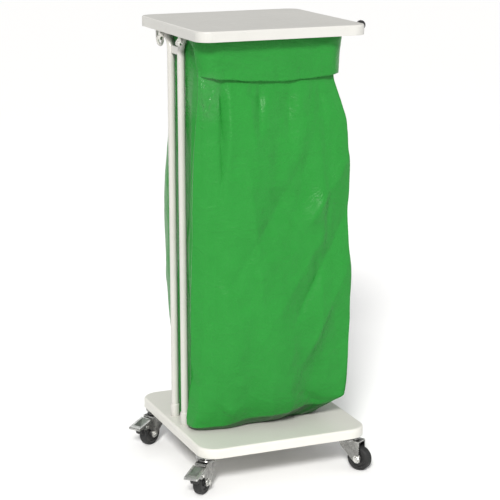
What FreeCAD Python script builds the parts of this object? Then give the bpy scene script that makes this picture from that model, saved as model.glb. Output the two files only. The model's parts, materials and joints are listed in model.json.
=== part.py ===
import FreeCAD, Part
import Sketcher
import math
import os
from FreeCAD import Vector as V, Placement, Rotation

# Linen trolley: a moulded base on four swivel castors, two tube uprights at the
# rear carrying a square bag ring, a film bag folded over the ring, and a shallow
# hinged lid with a knob at the front.
# Frame: origin on the floor under the centre of the base, +X to the front (the
# lid's knob), -X to the rear (uprights and hinge), +Y to the left, +Z up. mm.

doc = FreeCAD.newDocument("linen_trolley")
sheet = doc.addObject("Spreadsheet::Sheet", "dims")

TABLE = [
    # base tray
    ("base_len", 357.0, "base size, front to rear"),
    ("base_wide", 378.6, "base size, side to side"),
    ("base_top", 95.0, "height of the base's upper face"),
    ("base_skirt", 19.5, "depth of the base's skirt"),
    ("base_round", 38.0, "corner radius of the base"),
    ("base_edge", 4.5, "rounding of the upper edge"),
    ("base_wall", 3.0, "wall of the moulding"),
    ("boss_round", 23.0, "radius of the castor bosses"),
    ("rib_wall", 2.0, "thickness of the stiffening ribs"),
    # uprights
    ("post_x", -156.2, "plane of the uprights"),
    ("post_y", 28.1, "half spacing of the uprights"),
    ("post_round", 7.0, "tube radius"),
    ("post_bore", 5.5, "tube bore radius"),
    ("post_foot", 82.0, "lower end of the tube in the boss"),
    ("post_knee", 845.0, "height where the tube turns outward"),
    ("post_bend", 26.0, "centre line radius of that bend"),
    ("post_lean", 37.5, "angle of the branch from vertical, degrees"),
    ("ferrule_round", 8.8, "outer radius of the foot ferrule"),
    ("ferrule_tall", 27.0, "height of the foot ferrule"),
    ("web_low", 840.0, "lower edge of the web plate"),
    ("web_tall", 15.0, "height of the web plate"),
    ("web_thick", 3.0, "thickness of the web plate"),
    # bag ring
    ("ring_back", -156.2, "centre line of the ring's rear bar"),
    ("ring_front", 138.0, "centre line of the ring's front bar"),
    ("ring_side", 140.0, "centre line of the ring's side bars"),
    ("ring_high", 886.0, "height of the ring's centre line"),
    ("ring_bar", 5.0, "radius of the ring's bar"),
    ("ring_turn", 37.0, "centre line radius of the ring's corners"),
    # rear hook
    ("hook_mid", 90.0, "sideways place of the rear hook"),
    ("hook_half", 15.5, "half width of the hook, centre line"),
    ("hook_bar", 3.0, "radius of the hook's rod"),
    ("hook_low", 848.0, "lowest centre line of the hook"),
    # lid
    ("lid_len", 345.0, "lid size, both ways"),
    ("lid_top", 900.0, "height of the lid's upper face"),
    ("lid_skirt", 20.0, "depth of the lid's skirt"),
    ("lid_round", 27.0, "corner radius of the lid"),
    ("lid_edge", 3.0, "rounding of the upper edge"),
    ("lid_wall", 3.0, "wall of the lid"),
    ("hinge_x", -168.9, "hinge axis, front to rear"),
    ("hinge_z", 866.0, "hinge axis, height"),
    ("hinge_pin_round", 2.0, "hinge pin radius"),
    ("hinge_fit", 0.06, "running clearance of the hinge eye"),
    ("eye_round", 4.2, "outer radius of the hinge eye"),
    ("arm_in", 50.0, "inner side of the hinge arm"),
    ("arm_wide", 12.0, "width of the hinge arm"),
    ("arm_thick", 2.5, "thickness of the hinge arm"),
    ("arm_front", -118.0, "front end of the hinge arm"),
    # knob
    ("knob_x", 240.0, "centre of the knob, front"),
    ("knob_z", 879.0, "centre of the knob, height"),
    ("knob_round", 9.75, "knob radius"),
    ("stem_z", 889.5, "height of the stem in the skirt"),
    ("stem_round", 3.0, "stem radius"),
    # castors
    ("castor_x", 156.0, "half spacing of the swivel axes, front to rear"),
    ("castor_y", 149.0, "half spacing of the swivel axes, side to side"),
    ("trail", 23.0, "offset of the axle from the swivel axis"),
    ("wheel_round", 25.0, "wheel radius"),
    ("tyre_wide", 18.0, "tyre width"),
    ("rim_round", 20.5, "outer radius of the wheel's core"),
    ("axle_round", 3.0, "axle bolt radius"),
    ("sleeve_round", 4.2, "outer radius of the axle sleeve"),
    ("run_fit", 0.05, "running clearance"),
    ("fork_half", 12.5, "half width over the fork's cheeks"),
    ("fork_sheet", 2.0, "sheet thickness of the fork"),
    ("crown_top", 62.5, "upper face of the fork's crown"),
    ("head_low", 70.5, "lower face of the swivel head"),
    ("head_top", 74.8, "upper face of the swivel head"),
    ("head_round", 21.0, "radius of the swivel head"),
    ("race_round", 14.0, "pitch radius of the ball race"),
    ("ball_round", 2.0, "ball radius"),
    ("ball_count", 12.0, "balls in each race"),
    ("stem_pin", 5.5, "radius of the castor's stem"),
    ("stem_top", 90.5, "upper end of the castor's stem"),
    ("kingpin_round", 4.0, "radius of the kingpin"),
    ("pivot_u", 48.0, "pedal pivot, along the trail"),
    ("pivot_z", 47.0, "pedal pivot, height"),
    ("pivot_round", 2.0, "pedal pivot radius"),
    ("head_rl", -147.0, "heading of the rear left castor, degrees"),
    ("head_rr", -136.0, "heading of the rear right castor, degrees"),
    ("head_fr", -58.0, "heading of the front right castor, degrees"),
    ("head_fl", -40.0, "heading of the front left castor, degrees"),
    # bag
    ("bag_wall", 1.6, "thickness of the bag solid"),
    ("bag_floor", 96.0, "underside of the bag"),
    ("cuff_low", 803.0, "lower edge of the folded cuff"),
]
for row, (alias, number, note) in enumerate(TABLE, start=1):
    sheet.set("A%d" % row, alias)
    sheet.set("B%d" % row, str(number))
    sheet.setAlias("B%d" % row, alias)
    sheet.set("C%d" % row, note)
doc.recompute()


class Dim:
    """A driving size: its number, and the expression that reads it from the sheet."""

    def __init__(self, number, text):
        self.n = float(number)
        self.t = text

    @staticmethod
    def of(other):
        return other if isinstance(other, Dim) else Dim(other, repr(float(other)))

    def __add__(self, o):
        o = Dim.of(o)
        return Dim(self.n + o.n, "(%s + %s)" % (self.t, o.t))

    __radd__ = __add__

    def __sub__(self, o):
        o = Dim.of(o)
        return Dim(self.n - o.n, "(%s - %s)" % (self.t, o.t))

    def __rsub__(self, o):
        return Dim.of(o) - self

    def __mul__(self, o):
        o = Dim.of(o)
        return Dim(self.n * o.n, "(%s * %s)" % (self.t, o.t))

    __rmul__ = __mul__

    def __truediv__(self, o):
        o = Dim.of(o)
        return Dim(self.n / o.n, "(%s / %s)" % (self.t, o.t))

    def __neg__(self):
        return Dim(-self.n, "(0 - %s)" % self.t)


D = {alias: Dim(float(sheet.get(alias)), "dims." + alias) for alias, _, _ in TABLE}
NODES = []


def bind(obj, prop, size):
    obj.setExpression(prop, Dim.of(size).t)


def keep(obj, label):
    obj.Label = label
    NODES.append(obj)
    return obj


def place(obj, x=0, y=0, z=0, turn=None):
    """Put a sub-part in the object's frame: a shift, and a turn about +Z."""
    x, y, z = Dim.of(x), Dim.of(y), Dim.of(z)
    rot = Rotation(V(0, 0, 1), turn.n) if turn is not None else Rotation()
    obj.Placement = Placement(V(x.n, y.n, z.n), rot)
    bind(obj, "Placement.Base.x", x)
    bind(obj, "Placement.Base.y", y)
    bind(obj, "Placement.Base.z", z)


def new_body(label):
    body = doc.addObject("PartDesign::Body", "B_" + label)
    body.Label = label
    return body


def new_sketch(body, plane="XY_Plane", lift=None):
    sk = body.newObject("Sketcher::SketchObject", "Sketch")
    support = [f for f in body.Origin.OriginFeatures if f.Role == plane][0]
    sk.AttachmentSupport = [(support, "")]
    sk.MapMode = "FlatFace"
    if lift is not None:
        lift = Dim.of(lift)
        sk.AttachmentOffset = Placement(V(0, 0, lift.n), Rotation())
        bind(sk, "AttachmentOffset.Base.z", lift)
    return sk


def fix(sk, kind, args, size, name):
    size = Dim.of(size)
    idx = sk.addConstraint(Sketcher.Constraint(kind, *args, size.n))
    sk.renameConstraint(idx, name)
    sk.setExpression("Constraints." + name, size.t)


def polygon(sk, pts):
    pts = [(Dim.of(a), Dim.of(b)) for a, b in pts]
    g0 = sk.GeometryCount
    n = len(pts)
    for i in range(n):
        a, b = pts[i], pts[(i + 1) % n]
        sk.addGeometry(Part.LineSegment(V(a[0].n, a[1].n, 0), V(b[0].n, b[1].n, 0)))
    for i in range(n):
        sk.addConstraint(Sketcher.Constraint("Coincident", g0 + i, 2, g0 + (i + 1) % n, 1))
    for i in range(n):
        fix(sk, "DistanceX", (-1, 1, g0 + i, 1), pts[i][0], "px%d_%d" % (g0, i))
        fix(sk, "DistanceY", (-1, 1, g0 + i, 1), pts[i][1], "py%d_%d" % (g0, i))


def circle(sk, cx, cy, r):
    cx, cy, r = Dim.of(cx), Dim.of(cy), Dim.of(r)
    g = sk.addGeometry(Part.Circle(V(cx.n, cy.n, 0), V(0, 0, 1), r.n))
    fix(sk, "Radius", (g,), r, "cr%d" % g)
    fix(sk, "DistanceX", (-1, 1, g, 3), cx, "cx%d" % g)
    fix(sk, "DistanceY", (-1, 1, g, 3), cy, "cy%d" % g)


def round_rect(sk, x0, x1, y0, y1, r):
    x0, x1, y0, y1, r = [Dim.of(q) for q in (x0, x1, y0, y1, r)]
    a, b, c, d, q = x0.n, x1.n, y0.n, y1.n, r.n
    g = sk.GeometryCount
    up = V(0, 0, 1)

    def arc(cx, cy, t):
        return Part.ArcOfCircle(Part.Circle(V(cx, cy, 0), up, q), math.radians(t), math.radians(t + 90))

    sk.addGeometry(Part.LineSegment(V(a + q, c, 0), V(b - q, c, 0)))
    sk.addGeometry(arc(b - q, c + q, -90))
    sk.addGeometry(Part.LineSegment(V(b, c + q, 0), V(b, d - q, 0)))
    sk.addGeometry(arc(b - q, d - q, 0))
    sk.addGeometry(Part.LineSegment(V(b - q, d, 0), V(a + q, d, 0)))
    sk.addGeometry(arc(a + q, d - q, 90))
    sk.addGeometry(Part.LineSegment(V(a, d - q, 0), V(a, c + q, 0)))
    sk.addGeometry(arc(a + q, c + q, 180))
    for i in range(8):
        sk.addConstraint(Sketcher.Constraint("Tangent", g + i, 2, g + (i + 1) % 8, 1))
    for i, kind in ((0, "Horizontal"), (2, "Vertical"), (4, "Horizontal"), (6, "Vertical")):
        sk.addConstraint(Sketcher.Constraint(kind, g + i))
    for i in (3, 5, 7):
        sk.addConstraint(Sketcher.Constraint("Equal", g + 1, g + i))
    fix(sk, "Radius", (g + 1,), r, "rr%d" % g)
    fix(sk, "DistanceY", (-1, 1, g, 1), y0, "ra%d" % g)
    fix(sk, "DistanceX", (-1, 1, g + 2, 1), x1, "rb%d" % g)
    fix(sk, "DistanceY", (-1, 1, g + 4, 1), y1, "rc%d" % g)
    fix(sk, "DistanceX", (-1, 1, g + 6, 1), x0, "rd%d" % g)


def pad(body, sk, length, mid=False, down=False):
    f = body.newObject("PartDesign::Pad", "Pad")
    f.Profile = sk
    f.Length = Dim.of(length).n
    bind(f, "Length", length)
    f.Midplane = mid
    f.Reversed = down
    sk.Visibility = False
    doc.recompute()
    return f


def pocket(body, sk, length, mid=False, up=False):
    """Cut, and stop at once if the cut took nothing away."""
    before = body.Shape.Volume
    f = body.newObject("PartDesign::Pocket", "Pocket")
    f.Profile = sk
    f.Length = Dim.of(length).n
    bind(f, "Length", length)
    f.Midplane = mid
    f.Reversed = up
    doc.recompute()
    if not body.Shape.Volume < before - 1e-6:
        raise RuntimeError("a pocket in %s cut nothing" % body.Label)
    return f


def revolve(body, pts, plane="XZ_Plane", axis="V_Axis"):
    sk = new_sketch(body, plane)
    polygon(sk, pts)
    f = body.newObject("PartDesign::Revolution", "Revolution")
    f.Profile = sk
    f.ReferenceAxis = (sk, [axis])
    f.Angle = 360.0
    doc.recompute()
    return f


def edges_where(shape, test):
    names = []
    for i, e in enumerate(shape.Edges, start=1):
        if test(e):
            names.append("Edge%d" % i)
    return names


def fillet(body, base, size, test):
    names = edges_where(base.Shape, test)
    if not names:
        raise RuntimeError("no edge to round in " + body.Label)
    f = body.newObject("PartDesign::Fillet", "Fillet")
    f.Base = (base, names)
    f.Radius = Dim.of(size).n
    bind(f, "Radius", size)
    doc.recompute()
    return f


def at_height(z):
    return lambda e: abs(e.BoundBox.ZMin - z) < 1e-4 and abs(e.BoundBox.ZMax - z) < 1e-4


def cylinder(name, r, length, x=0, y=0, z=0, axis=(0, 0, 1)):
    c = doc.addObject("Part::Cylinder", name)
    bind(c, "Radius", r)
    bind(c, "Height", length)
    x, y, z = Dim.of(x), Dim.of(y), Dim.of(z)
    c.Placement = Placement(V(x.n, y.n, z.n), Rotation(V(0, 0, 1), V(*axis)))
    bind(c, "Placement.Base.x", x)
    bind(c, "Placement.Base.y", y)
    bind(c, "Placement.Base.z", z)
    return c


def cut(name, base, tool):
    f = doc.addObject("Part::Cut", name)
    f.Base, f.Tool = base, tool
    return f


def fuse(name, parts):
    f = doc.addObject("Part::MultiFuse", name)
    f.Shapes = parts
    return f


def feature(label, shape):
    f = doc.addObject("Part::Feature", "F_" + label)
    f.Shape = shape
    return keep(f, label)


# ------------------------------------------------------------------ base tray
b = new_body("base_tray")
bottom = D["base_top"] - D["base_skirt"]
hx, hy, wall = D["base_len"] / 2, D["base_wide"] / 2, D["base_wall"]
sk = new_sketch(b, lift=bottom)
round_rect(sk, -hx, hx, -hy, hy, D["base_round"])
f = pad(b, sk, D["base_skirt"])
fillet(b, f, D["base_edge"], at_height(D["base_top"].n))
sk = new_sketch(b, lift=bottom)
round_rect(sk, wall - hx, hx - wall, wall - hy, hy - wall, D["base_round"] - wall)
pocket(b, sk, D["base_skirt"] - wall, up=True)
# castor bosses, their heads standing just under the skirt
for sx, sy in ((-1, -1), (1, -1), (-1, 1), (1, 1)):
    sk = new_sketch(b, lift=bottom)
    cx, cy = D["castor_x"] * sx, D["castor_y"] * sy
    g = D["boss_round"] - 5.5
    polygon(sk, [(cx - g, cy - g), (cx + g, cy - g), (cx + g, cy + g), (cx - g, cy + g)])
    pad(b, sk, D["base_skirt"] - wall + 0.5)
# rear boss under the uprights
sk = new_sketch(b, lift=bottom)
polygon(sk, [(D["post_x"] - 14, -D["post_y"] - 15), (D["post_x"] + 15, -D["post_y"] - 15),
             (D["post_x"] + 15, D["post_y"] + 15), (D["post_x"] - 14, D["post_y"] + 15)])
pad(b, sk, D["base_skirt"] - wall + 0.5)
# stiffening ribs across the underside
half_rib = D["rib_wall"] / 2
for y in (-100.0, -50.0, 0.0, 50.0, 100.0):
    sk = new_sketch(b, lift=bottom + 5)
    polygon(sk, [(-(hx - wall) - 0.5 if abs(y) > 60 else D["post_x"] + 14, y - half_rib),
                 (hx - wall + 0.5, y - half_rib), (hx - wall + 0.5, y + half_rib),
                 (-(hx - wall) - 0.5 if abs(y) > 60 else D["post_x"] + 14, y + half_rib)])
    pad(b, sk, D["base_skirt"] - wall - 4.5)
for x in (-100.0, 0.0, 100.0):
    sk = new_sketch(b, lift=bottom + 5)
    polygon(sk, [(x - half_rib, -(hy - wall) - 0.5), (x + half_rib, -(hy - wall) - 0.5),
                 (x + half_rib, hy - wall + 0.5), (x - half_rib, hy - wall + 0.5)])
    pad(b, sk, D["base_skirt"] - wall - 4.5)
# sockets for the castor stems, blind from below, with room for the grip ring
sk = new_sketch(b, lift=bottom)
for sx, sy in ((-1, -1), (1, -1), (-1, 1), (1, 1)):
    circle(sk, D["castor_x"] * sx, D["castor_y"] * sy, D["stem_pin"] + 1.1)
pocket(b, sk, D["stem_top"] - bottom + 0.5, up=True)
# holes for the uprights, from above, and for their screws, from below
sk = new_sketch(b, lift=D["post_foot"])
for s in (-1, 1):
    circle(sk, D["post_x"], D["post_y"] * s, D["post_round"])
pocket(b, sk, 30.0, up=True)
sk = new_sketch(b, lift=bottom)
for s in (-1, 1):
    circle(sk, D["post_x"], D["post_y"] * s, 3.1)
pocket(b, sk, 30.0, up=True)
sk = new_sketch(b, lift=bottom)
for s in (-1, 1):
    circle(sk, D["post_x"], D["post_y"] * s, 6.0)
pocket(b, sk, 3.5, up=True)
keep(b, "base_tray")

# ------------------------------------------------------------------ uprights
lean = math.radians(D["post_lean"].n)


def upright(label, s):
    """One bent tube: straight up, then splayed outward to the rear bar of the ring."""
    body = new_body(label + "_tube")
    px, py, knee, bend = D["post_x"].n, D["post_y"].n * s, D["post_knee"].n, D["post_bend"].n
    top = D["ring_high"].n
    # centre line in the plane of the uprights: line, arc, line
    sk = body.newObject("Sketcher::SketchObject", "Path")
    support = [f for f in body.Origin.OriginFeatures if f.Role == "YZ_Plane"][0]
    sk.AttachmentSupport = [(support, "")]
    sk.MapMode = "FlatFace"
    sk.AttachmentOffset = Placement(V(0, 0, px), Rotation())
    bind(sk, "AttachmentOffset.Base.z", D["post_x"])
    ex, ez = py + s * bend * (1 - math.cos(lean)), knee + bend * math.sin(lean)
    run = (top - ez) / math.cos(lean)
    tip = (ex + s * run * math.sin(lean), top)
    sk.addGeometry(Part.LineSegment(V(py, D["post_foot"].n, 0), V(py, knee, 0)))
    turn = Part.Circle(V(py + s * bend, knee, 0), V(0, 0, 1), bend)
    if s > 0:
        sk.addGeometry(Part.ArcOfCircle(turn, math.pi - lean, math.pi))
    else:
        sk.addGeometry(Part.ArcOfCircle(turn, 0.0, lean))
    sk.addGeometry(Part.LineSegment(V(ex, ez, 0), V(tip[0], tip[1], 0)))
    sk.addConstraint(Sketcher.Constraint("Tangent", 0, 2, 1, 2 if s > 0 else 1))
    sk.addConstraint(Sketcher.Constraint("Tangent", 1, 1 if s > 0 else 2, 2, 1))
    fix(sk, "DistanceX", (-1, 1, 0, 1), D["post_y"] * s, "foot_y")
    fix(sk, "DistanceY", (-1, 1, 0, 1), D["post_foot"], "foot_z")
    sk.addConstraint(Sketcher.Constraint("Vertical", 0))
    fix(sk, "DistanceY", (-1, 1, 0, 2), D["post_knee"], "knee_z")
    fix(sk, "Radius", (1,), D["post_bend"], "bend")
    fix(sk, "DistanceY", (-1, 1, 2, 2), D["ring_high"], "tip_z")
    fix(sk, "DistanceX", (-1, 1, 2, 2), tip[0], "tip_y")
    pr = new_sketch(body, lift=D["post_foot"])
    circle(pr, D["post_x"], D["post_y"] * s, D["post_round"])
    circle(pr, D["post_x"], D["post_y"] * s, D["post_bore"])
    doc.recompute()
    pipe = body.newObject("PartDesign::AdditivePipe", "Pipe")
    pipe.Profile = pr
    pipe.Spine = (sk, [])
    doc.recompute()
    # coped end: the rear bar's own cylinder is taken out of the tube
    bar = cylinder("cope_" + label, D["ring_bar"], 220.0, D["ring_back"], -110.0, D["ring_high"], (0, 1, 0))
    over = doc.addObject("Part::Box", "trim_" + label)
    over.Length, over.Width, over.Height = 40.0, 220.0, 20.0
    bind(over, "Placement.Base.x", D["post_x"] - 20)
    over.Placement.Base.y = -110.0
    bind(over, "Placement.Base.y", -110.0)
    bind(over, "Placement.Base.z", D["ring_high"])
    c1 = cut("coped_" + label, body, bar)
    c2 = cut("node_" + label, c1, over)
    return keep(c2, label)


POST = {1: upright("upright_left", 1), -1: upright("upright_right", -1)}

for label, s in (("foot_ferrule_left", 1), ("foot_ferrule_right", -1)):
    body = new_body(label)
    r0, r1, z0, z1 = D["post_round"], D["ferrule_round"], D["base_top"], D["base_top"] + D["ferrule_tall"]
    revolve(body, [(r0, z0), (r1, z0), (r1, z1 - 1.6), (r1 - 1.2, z1), (r0, z1)])
    place(body, D["post_x"], D["post_y"] * s)
    keep(body, label)

# threaded plugs in the tube ends, and the screws that hold the tubes to the base
plugs = []
for s in (-1, 1):
    plugs.append(cut("plug%d" % s, cylinder("plug_o%d" % s, D["post_bore"], 22.0, D["post_x"], D["post_y"] * s, D["post_foot"]),
                     cylinder("plug_i%d" % s, 3.0, 22.0, D["post_x"], D["post_y"] * s, D["post_foot"])))
c = doc.addObject("Part::Compound", "tube_plugs")
c.Links = plugs
keep(c, "tube_plugs")
screws = []
for s in (-1, 1):
    shank = cylinder("shank%d" % s, 3.0, 18.0, D["post_x"], D["post_y"] * s, bottom + 3.5)
    head = cylinder("shead%d" % s, 5.2, 2.8, D["post_x"], D["post_y"] * s, bottom + 0.7)
    screws.append(fuse("screw%d" % s, [shank, head]))
c = doc.addObject("Part::Compound", "upright_screws")
c.Links = screws
keep(c, "upright_screws")

# web plate welded between the two tubes
web = doc.addObject("Part::Box", "web_raw")
bind(web, "Length", D["web_thick"])
bind(web, "Width", D["post_y"] * 2)
bind(web, "Height", D["web_tall"])
bind(web, "Placement.Base.x", D["post_x"] - D["web_thick"] / 2)
bind(web, "Placement.Base.y", -D["post_y"])
bind(web, "Placement.Base.z", D["web_low"])
doc.recompute()
tubes = fuse("web_tubes", [cylinder("web_t%d" % s, D["post_round"] + 0.02, 60.0, D["post_x"], D["post_y"] * s, D["web_low"] - 10) for s in (-1, 1)])
keep(cut("web_plate", web, tubes), "web_plate")

# ------------------------------------------------------------------ bag ring
x0, x1, ys, rh = D["ring_back"], D["ring_front"], D["ring_side"], D["ring_high"]
rb, rt = D["ring_bar"], D["ring_turn"]
bars = [
    cylinder("ring_rear", rb, (ys - rt) * 2, x0, rt - ys, rh, (0, 1, 0)),
    cylinder("ring_front_bar", rb, (ys - rt) * 2, x1, rt - ys, rh, (0, 1, 0)),
    cylinder("ring_left", rb, x1 - x0 - rt * 2, x0 + rt, ys, rh, (1, 0, 0)),
    cylinder("ring_right", rb, x1 - x0 - rt * 2, x0 + rt, -ys, rh, (1, 0, 0)),
]
for i, (cx, cy, turn) in enumerate(((x1 - rt, ys - rt, 0), (x0 + rt, ys - rt, 90), (x0 + rt, rt - ys, 180), (x1 - rt, rt - ys, 270))):
    t = doc.addObject("Part::Torus", "ring_corner%d" % i)
    bind(t, "Radius1", rt)
    bind(t, "Radius2", rb)
    t.Angle3 = 90.0
    t.Placement = Placement(V(cx.n, cy.n, rh.n), Rotation(V(0, 0, 1), turn))
    bind(t, "Placement.Base.x", cx)
    bind(t, "Placement.Base.y", cy)
    bind(t, "Placement.Base.z", rh)
    bars.append(t)
keep(fuse("bag_ring", bars), "bag_ring")

# U-shaped hook of round rod, welded under the rear bar
hb, hh = D["hook_bar"], D["hook_half"]
legs = []
for s in (-1, 1):
    legs.append(cylinder("hook_leg%d" % s, hb, rh - D["hook_low"] - hh, D["ring_back"], D["hook_mid"] + hh * s, D["hook_low"] + hh))
t = doc.addObject("Part::Torus", "hook_bow")
bind(t, "Radius1", hh)
bind(t, "Radius2", hb)
t.Angle3 = 180.0
t.Placement = Placement(V(x0.n, D["hook_mid"].n, (D["hook_low"] + hh).n), Rotation(V(0, -1, 0), V(0, 0, -1), V(1, 0, 0), "XYZ"))
bind(t, "Placement.Base.x", D["ring_back"])
bind(t, "Placement.Base.y", D["hook_mid"])
bind(t, "Placement.Base.z", D["hook_low"] + hh)
hook_raw = fuse("hook_raw", legs + [t])
keep(cut("rear_hook", hook_raw, cylinder("hook_cope", rb, 220.0, x0, -110.0, rh, (0, 1, 0))), "rear_hook")

# ------------------------------------------------------------------ hinge lugs, pins and arms
px, pz, er, pr_ = D["hinge_x"], D["hinge_z"], D["eye_round"], D["hinge_pin_round"]
for label, s in (("left", 1), ("right", -1)):
    body = new_body("lug_plate_" + label)
    mid = (D["arm_in"] - 3.0) * s
    sk = new_sketch(body, "XZ_Plane", -mid)
    polygon(sk, [(px - 2.5, pz - 4.2), (px + 4.2, pz - 4.2), (px + 6.9, pz + 2), (px + 6.9, pz + 13), (px + 3, pz + 13),
                 (px - 0.5, pz + 8), (px - 4.2, pz + 2.5), (px - 4.2, pz - 2.5)])
    pad(body, sk, 3.0, mid=True)
    sk = new_sketch(body, "XZ_Plane", -mid)
    circle(sk, px, pz, pr_)
    pocket(body, sk, 12.0, mid=True)
    lug = cut("lug_cut_" + label, body, cylinder("lug_cope_" + label, rb + 0.01, 220.0, x0, -110.0, rh, (0, 1, 0)))
    keep(cut("lug_node_" + label, lug, POST[s]), "hinge_lug_" + label)
    # pin: a shouldered rod riveted in the lug, free end through the arm's eye
    y_in = D["arm_in"] - 6.0 if s > 0 else -(D["arm_in"] + D["arm_wide"] + 1.5)
    rod = cylinder("pin_rod_" + label, pr_, D["arm_wide"] + 7.5, px, y_in, pz, (0, 1, 0))
    head = cylinder("pin_head_" + label, pr_ + 1.4, 1.4, px, (D["arm_in"] - 5.9 if s > 0 else -(D["arm_in"] - 4.5)), pz, (0, 1, 0))
    keep(fuse("hinge_pin_" + label, [rod, head]), "hinge_pin_" + label)
    # arm: eye round the pin, leg up inside the skirt, flat leg under the lid
    body = new_body("hinge_arm_" + label)
    mid = (D["arm_in"] + D["arm_wide"] / 2) * s
    under = D["lid_top"] - D["lid_wall"]
    th = D["arm_thick"]
    leg = px - 0.6
    sk = new_sketch(body, "XZ_Plane", -mid)
    polygon(sk, [(leg, pz), (leg + th, pz), (leg + th, under - th), (D["arm_front"], under - th), (D["arm_front"], under), (leg, under)])
    pad(body, sk, D["arm_wide"], mid=True)
    sk = new_sketch(body, "XZ_Plane", -mid)
    circle(sk, px, pz, er)
    pad(body, sk, D["arm_wide"], mid=True)
    sk = new_sketch(body, "XZ_Plane", -mid)
    circle(sk, px, pz, pr_ + D["hinge_fit"])
    pocket(body, sk, 60.0, mid=True)
    sk = new_sketch(body, "XY_Plane", under)
    for x in (-142.0, -127.0):
        circle(sk, x, mid, 2.0)
    pocket(body, sk, 4.0)
    keep(body, "hinge_arm_" + label)

# ------------------------------------------------------------------ lid
b = new_body("lid_shell")
hl, lw = D["lid_len"] / 2, D["lid_wall"]
low = D["lid_top"] - D["lid_skirt"]
sk = new_sketch(b, lift=low)
round_rect(sk, -hl, hl, -hl, hl, D["lid_round"])
f = pad(b, sk, D["lid_skirt"])
fillet(b, f, D["lid_edge"], at_height(D["lid_top"].n))
sk = new_sketch(b, lift=low)
round_rect(sk, lw - hl, hl - lw, lw - hl, hl - lw, D["lid_round"] - lw)
pocket(b, sk, D["lid_skirt"] - lw, up=True)
# four rivet holes, blind, and the stem's hole through the front skirt
sk = new_sketch(b, lift=D["lid_top"] - lw - 0.5)
for s in (-1, 1):
    for x in (-142.0, -127.0):
        circle(sk, x, (D["arm_in"] + D["arm_wide"] / 2) * s, 2.0)
pocket(b, sk, 2.3, up=True)
sk = new_sketch(b, "YZ_Plane", hl + 1)
circle(sk, 0, D["stem_z"], 2.5)
pocket(b, sk, 8.0)
keep(b, "lid_shell")
rivets = []
for s in (-1, 1):
    for x in (-142.0, -127.0):
        y = (D["arm_in"] + D["arm_wide"] / 2) * s
        rivets.append(fuse("rivet", [cylinder("rv_s", 2.0, 4.2, x, y, under - th - 0.1), cylinder("rv_h", 3.6, 1.2, x, y, under - th - 1.2)]))
c = doc.addObject("Part::Compound", "hinge_rivets")
c.Links = rivets
keep(c, "hinge_rivets")

# knob: flange and threaded end square to the skirt, stem sloping down to a ball
sz, sr, kx, kz, kr = D["stem_z"], D["stem_round"], D["knob_x"], D["knob_z"], D["knob_round"]
run = V(kx.n - (hl.n + 3), 0, kz.n - sz.n)
flange = cylinder("stem_flange", 8.0, 2.0, hl, 0, sz, (1, 0, 0))
thread = cylinder("stem_thread", 2.5, 10.5, hl - 10, 0, sz, (1, 0, 0))
neck = cylinder("stem_neck", sr, 2.0, hl + 1, 0, sz, (1, 0, 0))
rod = cylinder("stem_rod", sr, run.Length - 4.0, hl + 3, 0, sz, (run.x, run.y, run.z))
ball = doc.addObject("Part::Sphere", "stem_knee")
bind(ball, "Radius", sr)
bind(ball, "Placement.Base.x", hl + 3)
bind(ball, "Placement.Base.z", sz)
keep(fuse("knob_stem", [flange, thread, neck, ball, rod]), "knob_stem")
ball = doc.addObject("Part::Sphere", "knob_ball")
bind(ball, "Radius", kr)
bind(ball, "Placement.Base.x", kx)
bind(ball, "Placement.Base.z", kz)
back = run.normalize() * -(kr.n + 1.5)
collar = cylinder("knob_collar", 5.0, 6.0, kx + back.x, 0, kz + back.z, (run.x, 0, run.z))
bore = cylinder("knob_bore", sr, 40.0, kx - run.x * 44.0, 0, kz - run.z * 44.0, (run.x, 0, run.z))
keep(cut("lid_knob", fuse("knob_raw", [ball, collar]), bore), "lid_knob")
hexa = doc.addObject("Part::Prism", "nut_hex")
hexa.Polygon = 6
bind(hexa, "Circumradius", 4.9)
bind(hexa, "Height", 4.0)
hexa.Placement = Placement(V(hl.n - lw.n - 4, 0, sz.n), Rotation(V(0, 0, 1), V(1, 0, 0)))
bind(hexa, "Placement.Base.x", hl - lw - 4)
bind(hexa, "Placement.Base.z", sz)
keep(cut("stem_nut", hexa, cylinder("nut_bore", 2.5, 8.0, hl - lw - 6, 0, sz, (1, 0, 0))), "stem_nut")

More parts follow.
